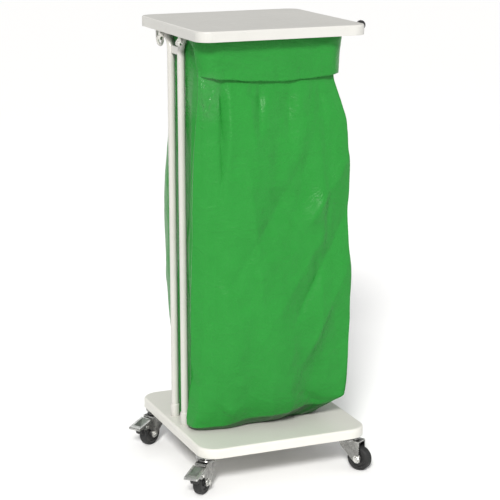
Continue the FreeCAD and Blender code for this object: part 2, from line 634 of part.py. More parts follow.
# ------------------------------------------------------------------ castors
# Each is drawn about its own swivel axis, +X along the trail, z from the floor.
tr, wr, fh, fs = D["trail"], D["wheel_round"], D["fork_half"], D["fork_sheet"]
ct = D["crown_top"]
CASTORS = [
    ("rear_left", -1, 1, D["head_rl"], True),
    ("rear_right", -1, -1, D["head_rr"], True),
    ("front_right", 1, -1, D["head_fr"], False),
    ("front_left", 1, 1, D["head_fl"], False),
]
balls = []
rings = []
for name, sx, sy, heading, braked in CASTORS:
    cx, cy = D["castor_x"] * sx, D["castor_y"] * sy

    def put(obj, label):
        place(obj, cx, cy, 0, heading)
        return keep(obj, label)

    # swivel head: disc with a turned-down rim, stem above, kingpin rivet below
    body = new_body("castor_head_" + name)
    hr, hlw, htp, sp, kp = D["head_round"], D["head_low"], D["head_top"], D["stem_pin"], D["kingpin_round"]
    revolve(body, [(0, ct - 7.0), (6.5, ct - 7.0), (6.5, ct - 5.2), (kp, ct - 4.2), (kp, hlw), (hr - 5.5, hlw), (hr - 2.0, hlw - 1.8),
                   (hr, hlw - 1.8), (hr, htp - 1.5), (hr - 1.5, htp), (sp, htp), (sp, D["stem_top"] - 1), (sp - 1, D["stem_top"]), (0, D["stem_top"])])
    put(body, "castor_head_" + name)
    # fork: pressed crown and two cheeks
    body = new_body("castor_fork_" + name)
    sk = new_sketch(body, "XZ_Plane")
    if braked:
        side = [(-18.5, ct), (tr + 5, ct), (tr + 5, 52.2), (50, 51), (53.5, 47), (52, 42.5), (44, 40.5), (35, 38), (tr + 8.5, 30),
                (tr + 8.5, 21), (tr + 3.5, 16), (tr - 4, 16), (tr - 8, 19.5), (-15, 47), (-18.5, 53)]
    else:
        side = [(-18.5, ct), (tr + 5, ct), (tr + 5, 35), (tr + 8.5, 30),
                (tr + 8.5, 21), (tr + 3.5, 16), (tr - 4, 16), (tr - 8, 19.5), (-15, 47), (-18.5, 53)]
    polygon(sk, side)
    pad(body, sk, fh * 2, mid=True)
    sk = new_sketch(body, "XZ_Plane")
    polygon(sk, [(-40, 5), (70, 5), (70, ct - fs - 0.5), (-40, ct - fs - 0.5)])
    pocket(body, sk, (fh - fs) * 2, mid=True)
    revolve(body, [(kp + D["run_fit"], ct - 1), (18.2, ct - 1), (18.2, ct), (16.8, ct + 2.6), (15.4, ct + 3.4), (12.4, ct + 3.4), (8, ct + 3.4), (kp + D["run_fit"], ct + 3.4)])
    sk = new_sketch(body, "XY_Plane", ct + 10)
    circle(sk, 0, 0, kp + D["run_fit"])
    pocket(body, sk, 20.0)
    sk = new_sketch(body, "XZ_Plane")
    circle(sk, tr, wr, D["axle_round"])
    if braked:
        circle(sk, D["pivot_u"], D["pivot_z"], D["pivot_round"])
    pocket(body, sk, 60.0, mid=True)
    put(body, "castor_fork_" + name)
    # axle bolt, flange nut and sleeve
    body = new_body("axle_bolt_" + name)
    sk = new_sketch(body, "XZ_Plane", fh)
    circle(sk, tr, wr, 7.6)
    pad(body, sk, 1.2)
    sk = new_sketch(body, "XZ_Plane", fh)
    pts = [(tr + 5.6 * math.cos(math.radians(60 * k + 10)), wr + 5.6 * math.sin(math.radians(60 * k + 10))) for k in range(6)]
    polygon(sk, pts)
    pad(body, sk, 4.4)
    sk = new_sketch(body, "XZ_Plane", fh)
    circle(sk, tr, wr, D["axle_round"])
    pad(body, sk, fh * 2 + 6.2, down=True)
    put(body, "axle_bolt_" + name)
    body = new_body("axle_nut_" + name)
    sk = new_sketch(body, "XZ_Plane", -fh)
    circle(sk, tr, wr, 7.6)
    pad(body, sk, 1.2, down=True)
    sk = new_sketch(body, "XZ_Plane", -fh)
    polygon(sk, pts)
    pad(body, sk, 4.8, down=True)
    sk = new_sketch(body, "XZ_Plane", -fh)
    circle(sk, tr, wr, D["axle_round"])
    pocket(body, sk, 12.0, mid=True)
    put(body, "axle_nut_" + name)
    body = new_body("axle_sleeve_" + name)
    sk = new_sketch(body, "XZ_Plane")
    circle(sk, tr, wr, D["sleeve_round"])
    circle(sk, tr, wr, D["axle_round"])
    pad(body, sk, (fh - fs) * 2, mid=True)
    put(body, "axle_sleeve_" + name)
    # wheel: core turned about the sleeve, tyre on its rim (drawn about +Y through the axle)
    rim, tw = D["rim_round"], D["tyre_wide"] / 2
    core = doc.addObject("PartDesign::Body", "B_core")
    inner = D["sleeve_round"] + D["run_fit"]
    revolve(core, [(inner, -9.4), (8.2, -9.4), (8.8, -8.6), (9.4, -6.0), (16.0, -6.0), (17.2, -8.2), (rim, -8.2), (rim, 8.2), (17.2, 8.2),
                   (16.0, 6.0), (9.4, 6.0), (8.8, 8.6), (8.2, 9.4), (inner, 9.4)], "XY_Plane")
    tyre = doc.addObject("PartDesign::Body", "B_tyre")
    revolve(tyre, [(rim, -8.2), (rim + 0.6, -tw + 0.4), (wr - 3.6, -tw), (wr - 1.4, -tw + 0.9), (wr - 0.3, -tw + 2.8), (wr, -tw + 5.2),
                   (wr, tw - 5.2), (wr - 0.3, tw - 2.8), (wr - 1.4, tw - 0.9), (wr - 3.6, tw), (rim + 0.6, tw - 0.4), (rim, 8.2)], "XY_Plane")
    for body, label in ((core, "wheel_core_" + name), (tyre, "tyre_" + name)):
        h = math.radians(heading.n)
        body.Placement = Placement(V(cx.n + tr.n * math.cos(h), cy.n + tr.n * math.sin(h), wr.n), Rotation(V(0, 0, 1), heading.n))
        keep(body, label)
    # ball race and grip ring
    for k in range(int(D["ball_count"].n)):
        a = 2 * math.pi * k / D["ball_count"].n
        balls.append(Part.makeSphere(D["ball_round"].n, V(cx.n + D["race_round"].n * math.cos(a), cy.n + D["race_round"].n * math.sin(a), (hlw.n + ct.n + 3.4) / 2)))
    rings.append(Part.makeCylinder(sp.n + 1.0, 9.0, V(cx.n, cy.n, 79.0)).cut(Part.makeCylinder(sp.n, 9.0, V(cx.n, cy.n, 79.0))))
    if braked:
        pu, pv, pr2 = D["pivot_u"], D["pivot_z"], D["pivot_round"]
        body = new_body("brake_pedal_" + name)
        sk = new_sketch(body, "XZ_Plane")
        polygon(sk, [(31.8, 59.55), (73, 49.25), (75, 46.2), (74.2, 44.6), (69, 45.4), (62, 46.2), (57, 43), (52.5, 41), (44.5, 42), (40, 49), (31.8, 56.2)])
        pad(body, sk, (fh + 1.8) * 2, mid=True)
        sk = new_sketch(body, "XZ_Plane")
        polygon(sk, [(20, 61.0), (72.0, 48.0), (73.2, 46.2), (73.2, 30), (20, 30)])
        pocket(body, sk, (fh + 0.3) * 2, mid=True)
        sk = new_sketch(body, "XZ_Plane")
        polygon(sk, [(35, 60.75), (64, 53.5), (64, 50.95), (35, 58.2)])
        pocket(body, sk, 17.0, mid=True)
        # the panel's pressed floor, set below the plate's face
        sk = new_sketch(body, "XZ_Plane")
        polygon(sk, [(34.5, 58.3), (64.5, 50.8), (64.5, 49.6), (34.5, 57.1)])
        pad(body, sk, 18.0, mid=True)
        sk = new_sketch(body, "XZ_Plane")
        circle(sk, pu, pv, pr2 + D["run_fit"])
        pocket(body, sk, 60.0, mid=True)
        put(body, "brake_pedal_" + name)
        body = new_body("brake_shoe_" + name)
        sk = new_sketch(body, "XZ_Plane")
        polygon(sk, [(51.6, 52.6), (60, 50.5), (62.5, 42), (58.5, 31.5), (48.2, 30.5), (46.1, 36.2), (47.5, 42.4), (51.6, 43.2)])
        pad(body, sk, 15.0, mid=True)
        put(body, "brake_shoe_" + name)
        body = new_body("brake_pin_" + name)
        sk = new_sketch(body, "XZ_Plane")
        circle(sk, pu, pv, pr2)
        pad(body, sk, (fh + 3.2) * 2, mid=True)
        for s in (-1, 1):
            sk = new_sketch(body, "XZ_Plane", (fh + 2.1) * s)
            circle(sk, pu, pv, 3.4)
            pad(body, sk, 1.4, down=(s < 0))
        put(body, "brake_pin_" + name)
feature("castor_balls", Part.makeCompound(balls))
feature("stem_rings", Part.makeCompound(rings))

# ------------------------------------------------------------------ bag
# One film bag, drawn as one thin-walled solid. It hangs inside the ring, passes
# over the ring's bar and folds down outside as a cuff on the front and sides.
YIN, YOUT = 46.0, 66.0


def loop(z, back, front, side, corner, dent=None, grow=0.0, rear_z=None, slack=0.0):
    """A twelve-sided section. dent: where the rear wall steps in round the uprights.
    slack: how far the rear left corner hangs in from its square place."""
    a, b_, y, q = back - grow, front + grow, side + grow, corner + grow * 0.586
    e = a if dent is None else dent - grow
    zr = z if rear_z is None else rear_z
    return [V(b_ - q, -y, z), V(b_, -y + q, z), V(b_, y - q, z), V(b_ - q, y, z), V(a + q - 0.35 * slack, y - 0.4 * slack, z),
            V(a + 0.9 * slack, y - q - 0.45 * slack, zr), V(a + 0.5 * slack, YOUT, zr), V(e, YIN, zr), V(e, -YIN, zr), V(a, -YOUT, zr), V(a, -y + q, zr), V(a + q, -y, z)]


w = D["bag_wall"].n
zf = D["bag_floor"].n
cl = D["cuff_low"].n
dent = D["post_x"].n + D["post_round"].n + 2.0
top = rh.n + rb.n
WALL = [  # height, rear, front, side, corner, dent, slack of the rear left corner
    (zf, -145.0, 148.0, 92.0, 22.0, -144.9, 0.0),
    (124.0, -158.0, 157.0, 117.0, 40.0, dent, 4.0),
    (205.0, -165.0, 157.0, 140.0, 42.0, dent, 12.0),
    (350.0, -168.0, 156.0, 148.0, 44.0, dent, 20.0),
    (560.0, -167.0, 152.0, 149.0, 44.0, dent, 20.0),
    (735.0, -160.0, 143.0, 146.0, 40.0, dent, 14.0),
    (795.0, -149.0, 127.0, 133.5, 37.0, dent, 3.0),
    (870.0, dent - 0.1, 129.0, 133.5, 37.0, dent, 0.0),
]
bx0, bx1, by = (x0.n - rb.n, x1.n + rb.n, ys.n + rb.n)
chain = []
chain += [loop(z + (w if i == 0 else 0), a, b_, y, q, e, -w, slack=k) for i, (z, a, b_, y, q, e, k) in enumerate(WALL)]
chain.append(loop(top + 1.6, dent - 0.1, 129.0, 133.5, 37.0, dent, -w))
chain.append(loop(top + 1.6, bx0 - 1.8, bx1 + 1.8, by + 1.8, 22.0))
chain.append(loop(rh.n - 7.0, bx0 - 1.8, bx1 + 1.8, by + 1.8, 22.0, rear_z=rh.n + 2.4))
chain.append(loop(cl, bx0 - 1.8, 138.5, 139.5, 22.0, rear_z=rh.n + 1.2))
chain.append(loop(cl, bx0 - 0.7, 137.3, 138.3, 21.5, rear_z=rh.n + 1.2))
chain.append(loop(rh.n - 7.0, bx0 - 0.7, bx1 + 0.7, by + 0.7, 21.5, rear_z=rh.n + 2.4))
chain.append(loop(top + 0.6, bx0 - 0.7, bx1 + 0.7, by + 0.7, 21.5))
chain.append(loop(top + 0.6, dent - 0.1, 129.0, 133.5, 37.0, dent))
chain += [loop(z, a, b_, y, q, e, slack=k) for (z, a, b_, y, q, e, k) in reversed(WALL)]


def face(pts):
    return Part.Face(Part.makePolygon(list(pts) + [pts[0]]))


def flat(p):
    n = (p[1] - p[0]).cross(p[2] - p[0])
    return n.Length > 1e-9 and abs(n.normalize().dot(p[3] - p[0])) < 1e-6


faces = [face(chain[0]), face(chain[-1])]
for lo, hi in zip(chain, chain[1:]):
    for i in range(12):
        j = (i + 1) % 12
        quad = [lo[i], lo[j], hi[j], hi[i]]
        pts = [p for k, p in enumerate(quad) if (p - quad[k - 1]).Length > 1e-6]
        if len(pts) == 4 and flat(pts):
            faces.append(face(pts))
        elif len(pts) == 4:
            faces.append(face([pts[0], pts[1], pts[2]]))
            faces.append(face([pts[0], pts[2], pts[3]]))
        elif len(pts) == 3:
            faces.append(face(pts))
skin = Part.makeCompound(faces)
skin.sewShape(1e-4)
shell = skin if skin.ShapeType == "Shell" else skin.Shells[0]
solid = Part.makeSolid(shell)
if solid.Volume < 0:
    solid.reverse()
feature("bag", solid)

# ------------------------------------------------------------------ check and write
doc.recompute()
for obj in doc.Objects:
    bad = [s for s in obj.State if s in ("Invalid", "Error")]
    if bad:
        raise RuntimeError("%s (%s) is %s" % (obj.Name, obj.Label, bad))
seen = set()
for obj in NODES:
    shape = obj.Shape
    if shape.isNull() or not shape.isValid() or shape.Volume <= 0:
        raise RuntimeError("bad shape: " + obj.Label)
    if obj.Label in seen:
        raise RuntimeError("two nodes named " + obj.Label)
    seen.add(obj.Label)
os.makedirs("parts", exist_ok=True)
for old in os.listdir("parts"):
    if old.endswith(".step") and old[:-5] not in seen:
        os.remove(os.path.join("parts", old))
for obj in NODES:
    obj.Shape.exportStep("parts/%s.step" % obj.Label)
whole = Part.makeCompound([o.Shape for o in NODES]).BoundBox
print("nodes", len(NODES), "box", [round(q, 2) for q in (whole.XMin, whole.YMin, whole.ZMin, whole.XMax, whole.YMax, whole.ZMax)])
for obj in NODES:
    print("%-26s solids %2d volume %10.1f" % (obj.Label, len(obj.Shape.Solids), obj.Shape.Volume))
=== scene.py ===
import bpy
import json
import math
import numpy as np
from mathutils import Matrix, Vector

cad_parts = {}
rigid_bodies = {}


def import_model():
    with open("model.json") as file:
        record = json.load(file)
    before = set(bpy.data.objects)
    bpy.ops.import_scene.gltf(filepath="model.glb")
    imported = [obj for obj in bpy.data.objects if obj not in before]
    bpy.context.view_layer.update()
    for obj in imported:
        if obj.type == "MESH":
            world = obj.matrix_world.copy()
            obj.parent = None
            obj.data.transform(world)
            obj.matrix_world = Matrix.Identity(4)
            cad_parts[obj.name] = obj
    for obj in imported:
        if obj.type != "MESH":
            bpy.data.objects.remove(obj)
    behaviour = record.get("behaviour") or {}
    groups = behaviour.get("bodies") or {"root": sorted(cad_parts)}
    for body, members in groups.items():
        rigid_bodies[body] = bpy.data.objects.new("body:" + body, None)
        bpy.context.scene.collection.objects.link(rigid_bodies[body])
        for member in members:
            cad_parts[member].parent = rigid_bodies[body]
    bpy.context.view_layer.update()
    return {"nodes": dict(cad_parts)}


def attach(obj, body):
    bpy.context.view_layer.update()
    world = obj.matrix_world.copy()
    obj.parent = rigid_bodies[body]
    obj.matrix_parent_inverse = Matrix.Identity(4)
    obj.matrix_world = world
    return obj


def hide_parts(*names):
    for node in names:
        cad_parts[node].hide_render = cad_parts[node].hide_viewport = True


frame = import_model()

MM = 0.001

# ------------------------------------------------------------------ camera
yaw, pitch, roll = math.radians(22.5), math.radians(-13.84), math.radians(-0.08)
fwd = Vector((math.sin(yaw) * math.cos(pitch), math.cos(yaw) * math.cos(pitch), math.sin(pitch)))
right = Vector((math.cos(yaw), -math.sin(yaw), 0.0))
up = right.cross(fwd)
r2 = right * math.cos(roll) + up * math.sin(roll)
u2 = up * math.cos(roll) - right * math.sin(roll)
cam_data = bpy.data.cameras.new("camera")
cam_data.sensor_width = 36.0
cam_data.lens = 120.47
cam_data.clip_start, cam_data.clip_end = 0.05, 200.0
cam = bpy.data.objects.new("camera", cam_data)
m = Matrix.Identity(4)
for row in range(3):
    m[row][0], m[row][1], m[row][2] = r2[row], u2[row], -fwd[row]
m.translation = Vector((-1.2577, -3.0324, 1.2446))
cam.matrix_world = m
bpy.context.scene.collection.objects.link(cam)
bpy.context.scene.camera = cam
bpy.context.scene.view_settings.view_transform = "Standard"


# ------------------------------------------------------------------ material tools
class Tree:
    """A small helper round one material's node tree."""

    def __init__(self, name):
        self.mat = bpy.data.materials.new(name)
        self.mat.use_nodes = True
        self.nt = self.mat.node_tree
        self.nt.nodes.clear()
        self.out = self.nt.nodes.new("ShaderNodeOutputMaterial")
        self.bsdf = self.nt.nodes.new("ShaderNodeBsdfPrincipled")
        self.nt.links.new(self.bsdf.outputs["BSDF"], self.out.inputs["Surface"])
        tc = self.nt.nodes.new("ShaderNodeTexCoord")
        self.obj = tc.outputs["Object"]
        self.geo = self.nt.nodes.new("ShaderNodeNewGeometry")
        self.height = []

    def link(self, a, b):
        self.nt.links.new(a, b)

    def mapped(self, scale=(1, 1, 1), rot=(0, 0, 0)):
        n = self.nt.nodes.new("ShaderNodeMapping")
        n.inputs["Scale"].default_value = scale
        n.inputs["Rotation"].default_value = rot
        self.link(self.obj, n.inputs["Vector"])
        return n.outputs["Vector"]

    def noise(self, scale, detail=3.0, rough=0.5, vec=None, distortion=0.0):
        n = self.nt.nodes.new("ShaderNodeTexNoise")
        n.inputs["Scale"].default_value = scale
        n.inputs["Detail"].default_value = detail
        n.inputs["Roughness"].default_value = rough
        n.inputs["Distortion"].default_value = distortion
        self.link(vec if vec is not None else self.obj, n.inputs["Vector"])
        return n.outputs["Fac"]

    def voronoi(self, scale, feature="F1", vec=None, rand=1.0):
        n = self.nt.nodes.new("ShaderNodeTexVoronoi")
        n.feature = feature
        n.inputs["Scale"].default_value = scale
        n.inputs["Randomness"].default_value = rand
        self.link(vec if vec is not None else self.obj, n.inputs["Vector"])
        return n.outputs["Distance"]

    def ramp(self, fac, stops):
        n = self.nt.nodes.new("ShaderNodeValToRGB")
        e = n.color_ramp.elements
        while len(e) > len(stops):
            e.remove(e[-1])
        while len(e) < len(stops):
            e.new(1.0)
        for s, (p, c) in zip(e, stops):
            s.position = p
            s.color = (c, c, c, 1) if isinstance(c, (int, float)) else (*c, 1)
        self.link(fac, n.inputs["Fac"])
        return n.outputs["Color"]

    def math(self, op, a, b=None):
        n = self.nt.nodes.new("ShaderNodeMath")
        n.operation = op
        for i, v in enumerate((a, b)):
            if v is None:
                continue
            if isinstance(v, (int, float)):
                n.inputs[i].default_value = v
            else:
                self.link(v, n.inputs[i])
        return n.outputs[0]

    def mix(self, fac, a, b, mode="MIX"):
        n = self.nt.nodes.new("ShaderNodeMix")
        n.data_type = "RGBA"
        n.blend_type = mode
        if isinstance(fac, (int, float)):
            n.inputs[0].default_value = fac
        else:
            self.link(fac, n.inputs[0])
        for i, v in ((6, a), (7, b)):
            if isinstance(v, tuple):
                n.inputs[i].default_value = (*v, 1)
            else:
                self.link(v, n.inputs[i])
        return n.outputs[2]

    def bump(self, height, strength, distance):
        n = self.nt.nodes.new("ShaderNodeBump")
        n.inputs["Strength"].default_value = strength
        n.inputs["Distance"].default_value = distance
        self.link(height, n.inputs["Height"])
        if self.height:
            self.link(self.height[-1], n.inputs["Normal"])
        self.height.append(n.outputs["Normal"])
        self.link(n.outputs["Normal"], self.bsdf.inputs["Normal"])

    def set(self, **k):
        for name, v in k.items():
            sock = self.bsdf.inputs[name.replace("_", " ")]
            if isinstance(v, (int, float, tuple)):
                sock.default_value = (*v, 1) if isinstance(v, tuple) else v
            else:
                self.link(v, sock)

    def painted_edge_highlight(self, lo=0.47, hi=0.56):
        """Mask that is white along convex edges, for painting a highlight on them."""
        return self.ramp(self.geo.outputs["Pointiness"], [(lo, 0.0), (hi, 1.0)])


def plastic(name, base, dark, rough=0.42, grain=1500.0, grain_depth=0.00004, spec=0.45):
    """Moulded thermoplastic: fine eroded grain, faint flow marks and scuffs."""
    t = Tree(name)
    cloud = t.noise(5.0, 4.0, 0.6)
    col = t.mix(t.ramp(cloud, [(0.35, 0.0), (0.72, 1.0)]), base, dark)
    speck = t.ramp(t.noise(640.0, 2.0, 0.5), [(0.66, 0.0), (0.80, 0.22)])
    col = t.mix(speck, col, tuple(c * 0.86 for c in dark))
    scuff = t.noise(34.0, 5.0, 0.7, t.mapped((1.0, 6.0, 1.0), (0.0, 0.0, 0.5)))
    col = t.mix(t.ramp(scuff, [(0.55, 0.0), (0.90, 0.07)]), col, tuple(c * 0.82 for c in dark))
    t.set(Base_Color=col, Specular_IOR_Level=spec)
    t.set(Roughness=t.ramp(t.noise(60.0, 4.0, 0.6), [(0.25, rough - 0.05), (0.8, rough + 0.09)]))
    t.bump(t.noise(28.0, 2.0, 0.5), 0.18, 0.0004)
    t.bump(t.noise(grain, 3.0, 0.6), 0.35, grain_depth)
    return t.mat


def powder(name, base, dark):
    """Powder-coated tube: orange peel, small chips of shade, a light gloss."""
    t = Tree(name)
    col = t.mix(t.ramp(t.noise(9.0, 4.0, 0.6), [(0.3, 0.0), (0.75, 1.0)]), base, dark)
    col = t.mix(t.ramp(t.noise(230.0, 3.0, 0.6), [(0.70, 0.0), (0.80, 0.4)]), col, tuple(c * 0.78 for c in dark))
    t.set(Base_Color=col, Specular_IOR_Level=0.5, Coat_Weight=0.12, Coat_Roughness=0.2)
    t.set(Roughness=t.ramp(t.noise(90.0, 3.0, 0.5), [(0.3, 0.27), (0.75, 0.38)]))
    t.bump(t.noise(520.0, 2.0, 0.45), 0.3, 0.00006)
    t.bump(t.noise(45.0, 2.0, 0.5), 0.12, 0.0003)
    return t.mat


def zinc(name, base=(0.30, 0.30, 0.29), rough=0.24, brushed=False, dirt=0.6):
    """Bright zinc plate: spangle, smears and darker stain patches, with a painted highlight along its convex edges."""
    t = Tree(name)
    vec = t.mapped((1, 1, 7)) if brushed else None
    cell = t.ramp(t.voronoi(260.0, "F1", vec), [(0.1, 0.0), (0.9, 1.0)])
    col = t.mix(cell, tuple(c * 0.80 for c in base), tuple(min(1.0, c * 1.12) for c in base))
    stain = t.ramp(t.noise(75.0, 5.0, 0.65), [(0.42, 0.0), (0.74, dirt)])
    col = t.mix(stain, col, tuple(c * 0.35 for c in base))
    # painted highlight: the convex edges are lightened towards pale grey
    edge = t.painted_edge_highlight(0.515, 0.60)
    col = t.mix(edge, col, (0.78, 0.78, 0.76))
    t.set(Base_Color=col, Metallic=1.0)
    t.set(Roughness=t.ramp(t.noise(140.0, 4.0, 0.6), [(0.25, rough - 0.07), (0.8, rough + 0.16)]))
    t.bump(t.noise(900.0, 2.0, 0.5, vec), 0.22, 0.00004)
    t.bump(t.noise(110.0, 3.0, 0.6), 0.18, 0.00016)
    return t.mat


def rubber(name, base, light, rough=0.62):
    """Grey-black rubber: dusty tread, mould bloom, fine pits."""
    t = Tree(name)
    col = t.mix(t.ramp(t.noise(46.0, 5.0, 0.65), [(0.35, 0.0), (0.75, 1.0)]), base, light)
    col = t.mix(t.ramp(t.noise(300.0, 3.0, 0.6), [(0.62, 0.0), (0.80, 0.5)]), col, (0.10, 0.095, 0.088))
    t.set(Base_Color=col, Specular_IOR_Level=0.42)
    t.set(Roughness=t.ramp(t.noise(80.0, 4.0, 0.6), [(0.25, rough - 0.1), (0.8, rough + 0.12)]))
    t.bump(t.noise(1100.0, 3.0, 0.6), 0.4, 0.00006)
    t.bump(t.noise(70.0, 2.0, 0.5), 0.2, 0.0003)
    return t.mat


def film(name, painted_shade_factor=1.0):
    """Green polythene film: satin, thin, with fine crinkle; the last argument darkens the whole colour, for a
    painted-shade copy.
    """
    t = Tree(name)
    cloud = t.ramp(t.noise(4.2, 4.0, 0.6, t.mapped((1.0, 1.0, 0.45))), [(0.30, 0.0), (0.75, 1.0)])
    col = t.mix(cloud, (0.020 * painted_shade_factor, 0.212 * painted_shade_factor, 0.030 * painted_shade_factor), (0.018 * painted_shade_factor, 0.184 * painted_shade_factor, 0.027 * painted_shade_factor))
    fine = t.ramp(t.noise(38.0, 5.0, 0.65, t.mapped((1.0, 1.0, 0.9))), [(0.42, 0.0), (0.75, 0.35)])
    col = t.mix(fine, col, (0.024 * painted_shade_factor, 0.232 * painted_shade_factor, 0.036 * painted_shade_factor))
    t.set(Base_Color=col, Subsurface_Weight=0.04, Coat_Weight=0.03, Coat_Roughness=0.10)
    # tauter and glossier where the film is pulled together under the cuff
    sep = t.nt.nodes.new("ShaderNodeSeparateXYZ")
    t.link(t.obj, sep.inputs[0])
    gx = t.math("MAXIMUM", t.math("SUBTRACT", 1.0, t.math("MULTIPLY", t.math("ABSOLUTE", t.math("ADD", sep.outputs[0], 0.136)), 42.0)), 0.0)
    gz = t.math("MAXIMUM", t.math("SUBTRACT", 1.0, t.math("MULTIPLY", t.math("ABSOLUTE", t.math("SUBTRACT", sep.outputs[2], 0.772)), 20.0)), 0.0)
    taut = t.math("MINIMUM", t.math("MULTIPLY", t.math("MULTIPLY", gx, gz), 4.0), 1.0)
    t.set(Specular_IOR_Level=t.math("ADD", t.math("MULTIPLY", taut, 0.30), 0.12))
    t.bsdf.inputs["Subsurface Radius"].default_value = (0.002, 0.006, 0.002)
    rough = t.ramp(t.noise(26.0, 4.0, 0.6), [(0.25, 0.27), (0.8, 0.40)])
    t.set(Roughness=t.math("SUBTRACT", rough, t.math("MULTIPLY", taut, 0.20)))
    # creases: ridged noise at two scales, stretched a little across the bag
    n1 = t.noise(11.0, 5.0, 0.62, t.mapped((1.0, 1.0, 1.5), (0.0, 0.25, 0.0)), 0.5)
    ridge = t.math("SUBTRACT", 1.0, t.math("MULTIPLY", t.math("ABSOLUTE", t.math("SUBTRACT", n1, 0.5)), 6.0))
    ridge = t.math("MAXIMUM", ridge, 0.0)
    t.bump(t.math("POWER", ridge, 3.0), 0.40, 0.0014)
    n2 = t.noise(42.0, 4.0, 0.6, t.mapped((0.8, 0.8, 2.2), (0.0, -0.15, 0.0)), 0.4)
    ridge2 = t.math("MAXIMUM", t.math("SUBTRACT", 1.0, t.math("MULTIPLY", t.math("ABSOLUTE", t.math("SUBTRACT", n2, 0.5)), 9.0)), 0.0)
    t.bump(t.math("POWER", ridge2, 2.5), 0.30, 0.0006)
    t.bump(t.noise(240.0, 3.0, 0.55), 0.05, 0.0002)
    return t.mat


MATS = {
    "base_plastic": plastic("m_base_plastic", (0.63, 0.62, 0.575), (0.59, 0.58, 0.54), 0.36, 1300.0, 0.00003, 0.5),
    "lid_plastic": plastic("m_lid_plastic", (0.535, 0.528, 0.50), (0.495, 0.488, 0.462), 0.42),
    "frame_paint": powder("m_frame_paint", (0.53, 0.52, 0.485), (0.48, 0.47, 0.44)),
    "tyre_rubber": rubber("m_tyre_rubber", (0.009, 0.0095, 0.0095), (0.020, 0.0205, 0.020)),
    "brake_rubber": rubber("m_brake_rubber", (0.010, 0.010, 0.010), (0.024, 0.024, 0.024), 0.5),
    "wheel_plastic": plastic("m_wheel_plastic", (0.013, 0.013, 0.0135), (0.022, 0.022, 0.021), 0.46, 1600.0, 0.00004, 0.4),
    "knob_plastic": plastic("m_knob_plastic", (0.010, 0.010, 0.011), (0.020, 0.020, 0.020), 0.24, 900.0, 0.00002, 0.5),
    "plug_plastic": plastic("m_plug_plastic", (0.06, 0.06, 0.06), (0.10, 0.10, 0.10), 0.5),
    "bag_film": film("m_bag_film"),
    "castor_zinc": zinc("m_castor_zinc"),
    "ball_steel": zinc("m_ball_steel", (0.55, 0.55, 0.55), 0.14, False, 0.15),
    "fastener_zinc": zinc("m_fastener_zinc", (0.72, 0.72, 0.69), 0.18, False, 0.2),
}
MATS["pedal_panel"] = zinc("m_pedal_panel", (0.24, 0.27, 0.235), 0.36, True, 0.4)
MATS["pedal_zinc"] = zinc("m_pedal_zinc", (0.27, 0.28, 0.265), 0.22, False, 0.35)
MATS["head_zinc"] = zinc("m_head_zinc", (0.20, 0.20, 0.195), 0.22, False, 0.5)

SLOT_OF = {}
for node in frame["nodes"]:
    n = node
    if n == "base_tray":
        s = "base_plastic"
    elif n == "lid_shell":
        s = "lid_plastic"
    elif n.startswith(("upright_", "foot_ferrule", "web_plate", "bag_ring", "rear_hook", "hinge_lug", "hinge_arm")) and n != "upright_screws":
        s = "frame_paint"
    elif n.startswith("tyre_"):
        s = "tyre_rubber"
    elif n.startswith("brake_shoe"):
        s = "brake_rubber"
    elif n.startswith("wheel_core"):
        s = "wheel_plastic"
    elif n == "lid_knob":
        s = "knob_plastic"
    elif n in ("tube_plugs", "stem_rings"):
        s = "plug_plastic"
    elif n == "castor_balls":
        s = "ball_steel"
    elif n.startswith(("castor_", "brake_pedal")):
        s = "castor_zinc"
    elif n == "bag":
        s = "bag_film"
    else:
        s = "fastener_zinc"
    SLOT_OF[n] = s


def node_object(n):
    v = frame["nodes"][n]
    return v if isinstance(v, bpy.types.Object) else bpy.data.objects[v if isinstance(v, str) else n]


ROUNDED = {"castor_fork": 0.55, "castor_head": 0.35, "brake_pedal": 0.35, "brake_shoe": 0.8, "axle_nut": 0.3, "axle_bolt": 0.3,
           "web_plate": 0.5, "hinge_arm": 0.4, "hinge_lug": 0.4, "foot_ferrule": 0.4, "stem_nut": 0.3, "base_tray": 0.6, "lid_shell": 0.5}
for n in SLOT_OF:
    if n == "bag":
        continue
    o = node_object(n)
    o.data.materials.clear()
    o.data.materials.append(MATS[SLOT_OF[n]])
    for key, width in ROUNDED.items():
        if n.startswith(key):
            w = o.modifiers.new("weld", "WELD")
            w.merge_threshold = 0.00001
            bv = o.modifiers.new("edge", "BEVEL")
            bv.width = width * MM
            bv.segments = 2
            bv.limit_method = "ANGLE"
            bv.angle_limit = math.radians(34)
            bv.use_clamp_overlap = True
            bv.harden_normals = False
            break


# painted shade: a darker copy of the film for the underside of the bag, where it sits in shadow on the base
MATS["film_double"] = film("m_film_double", 0.42)

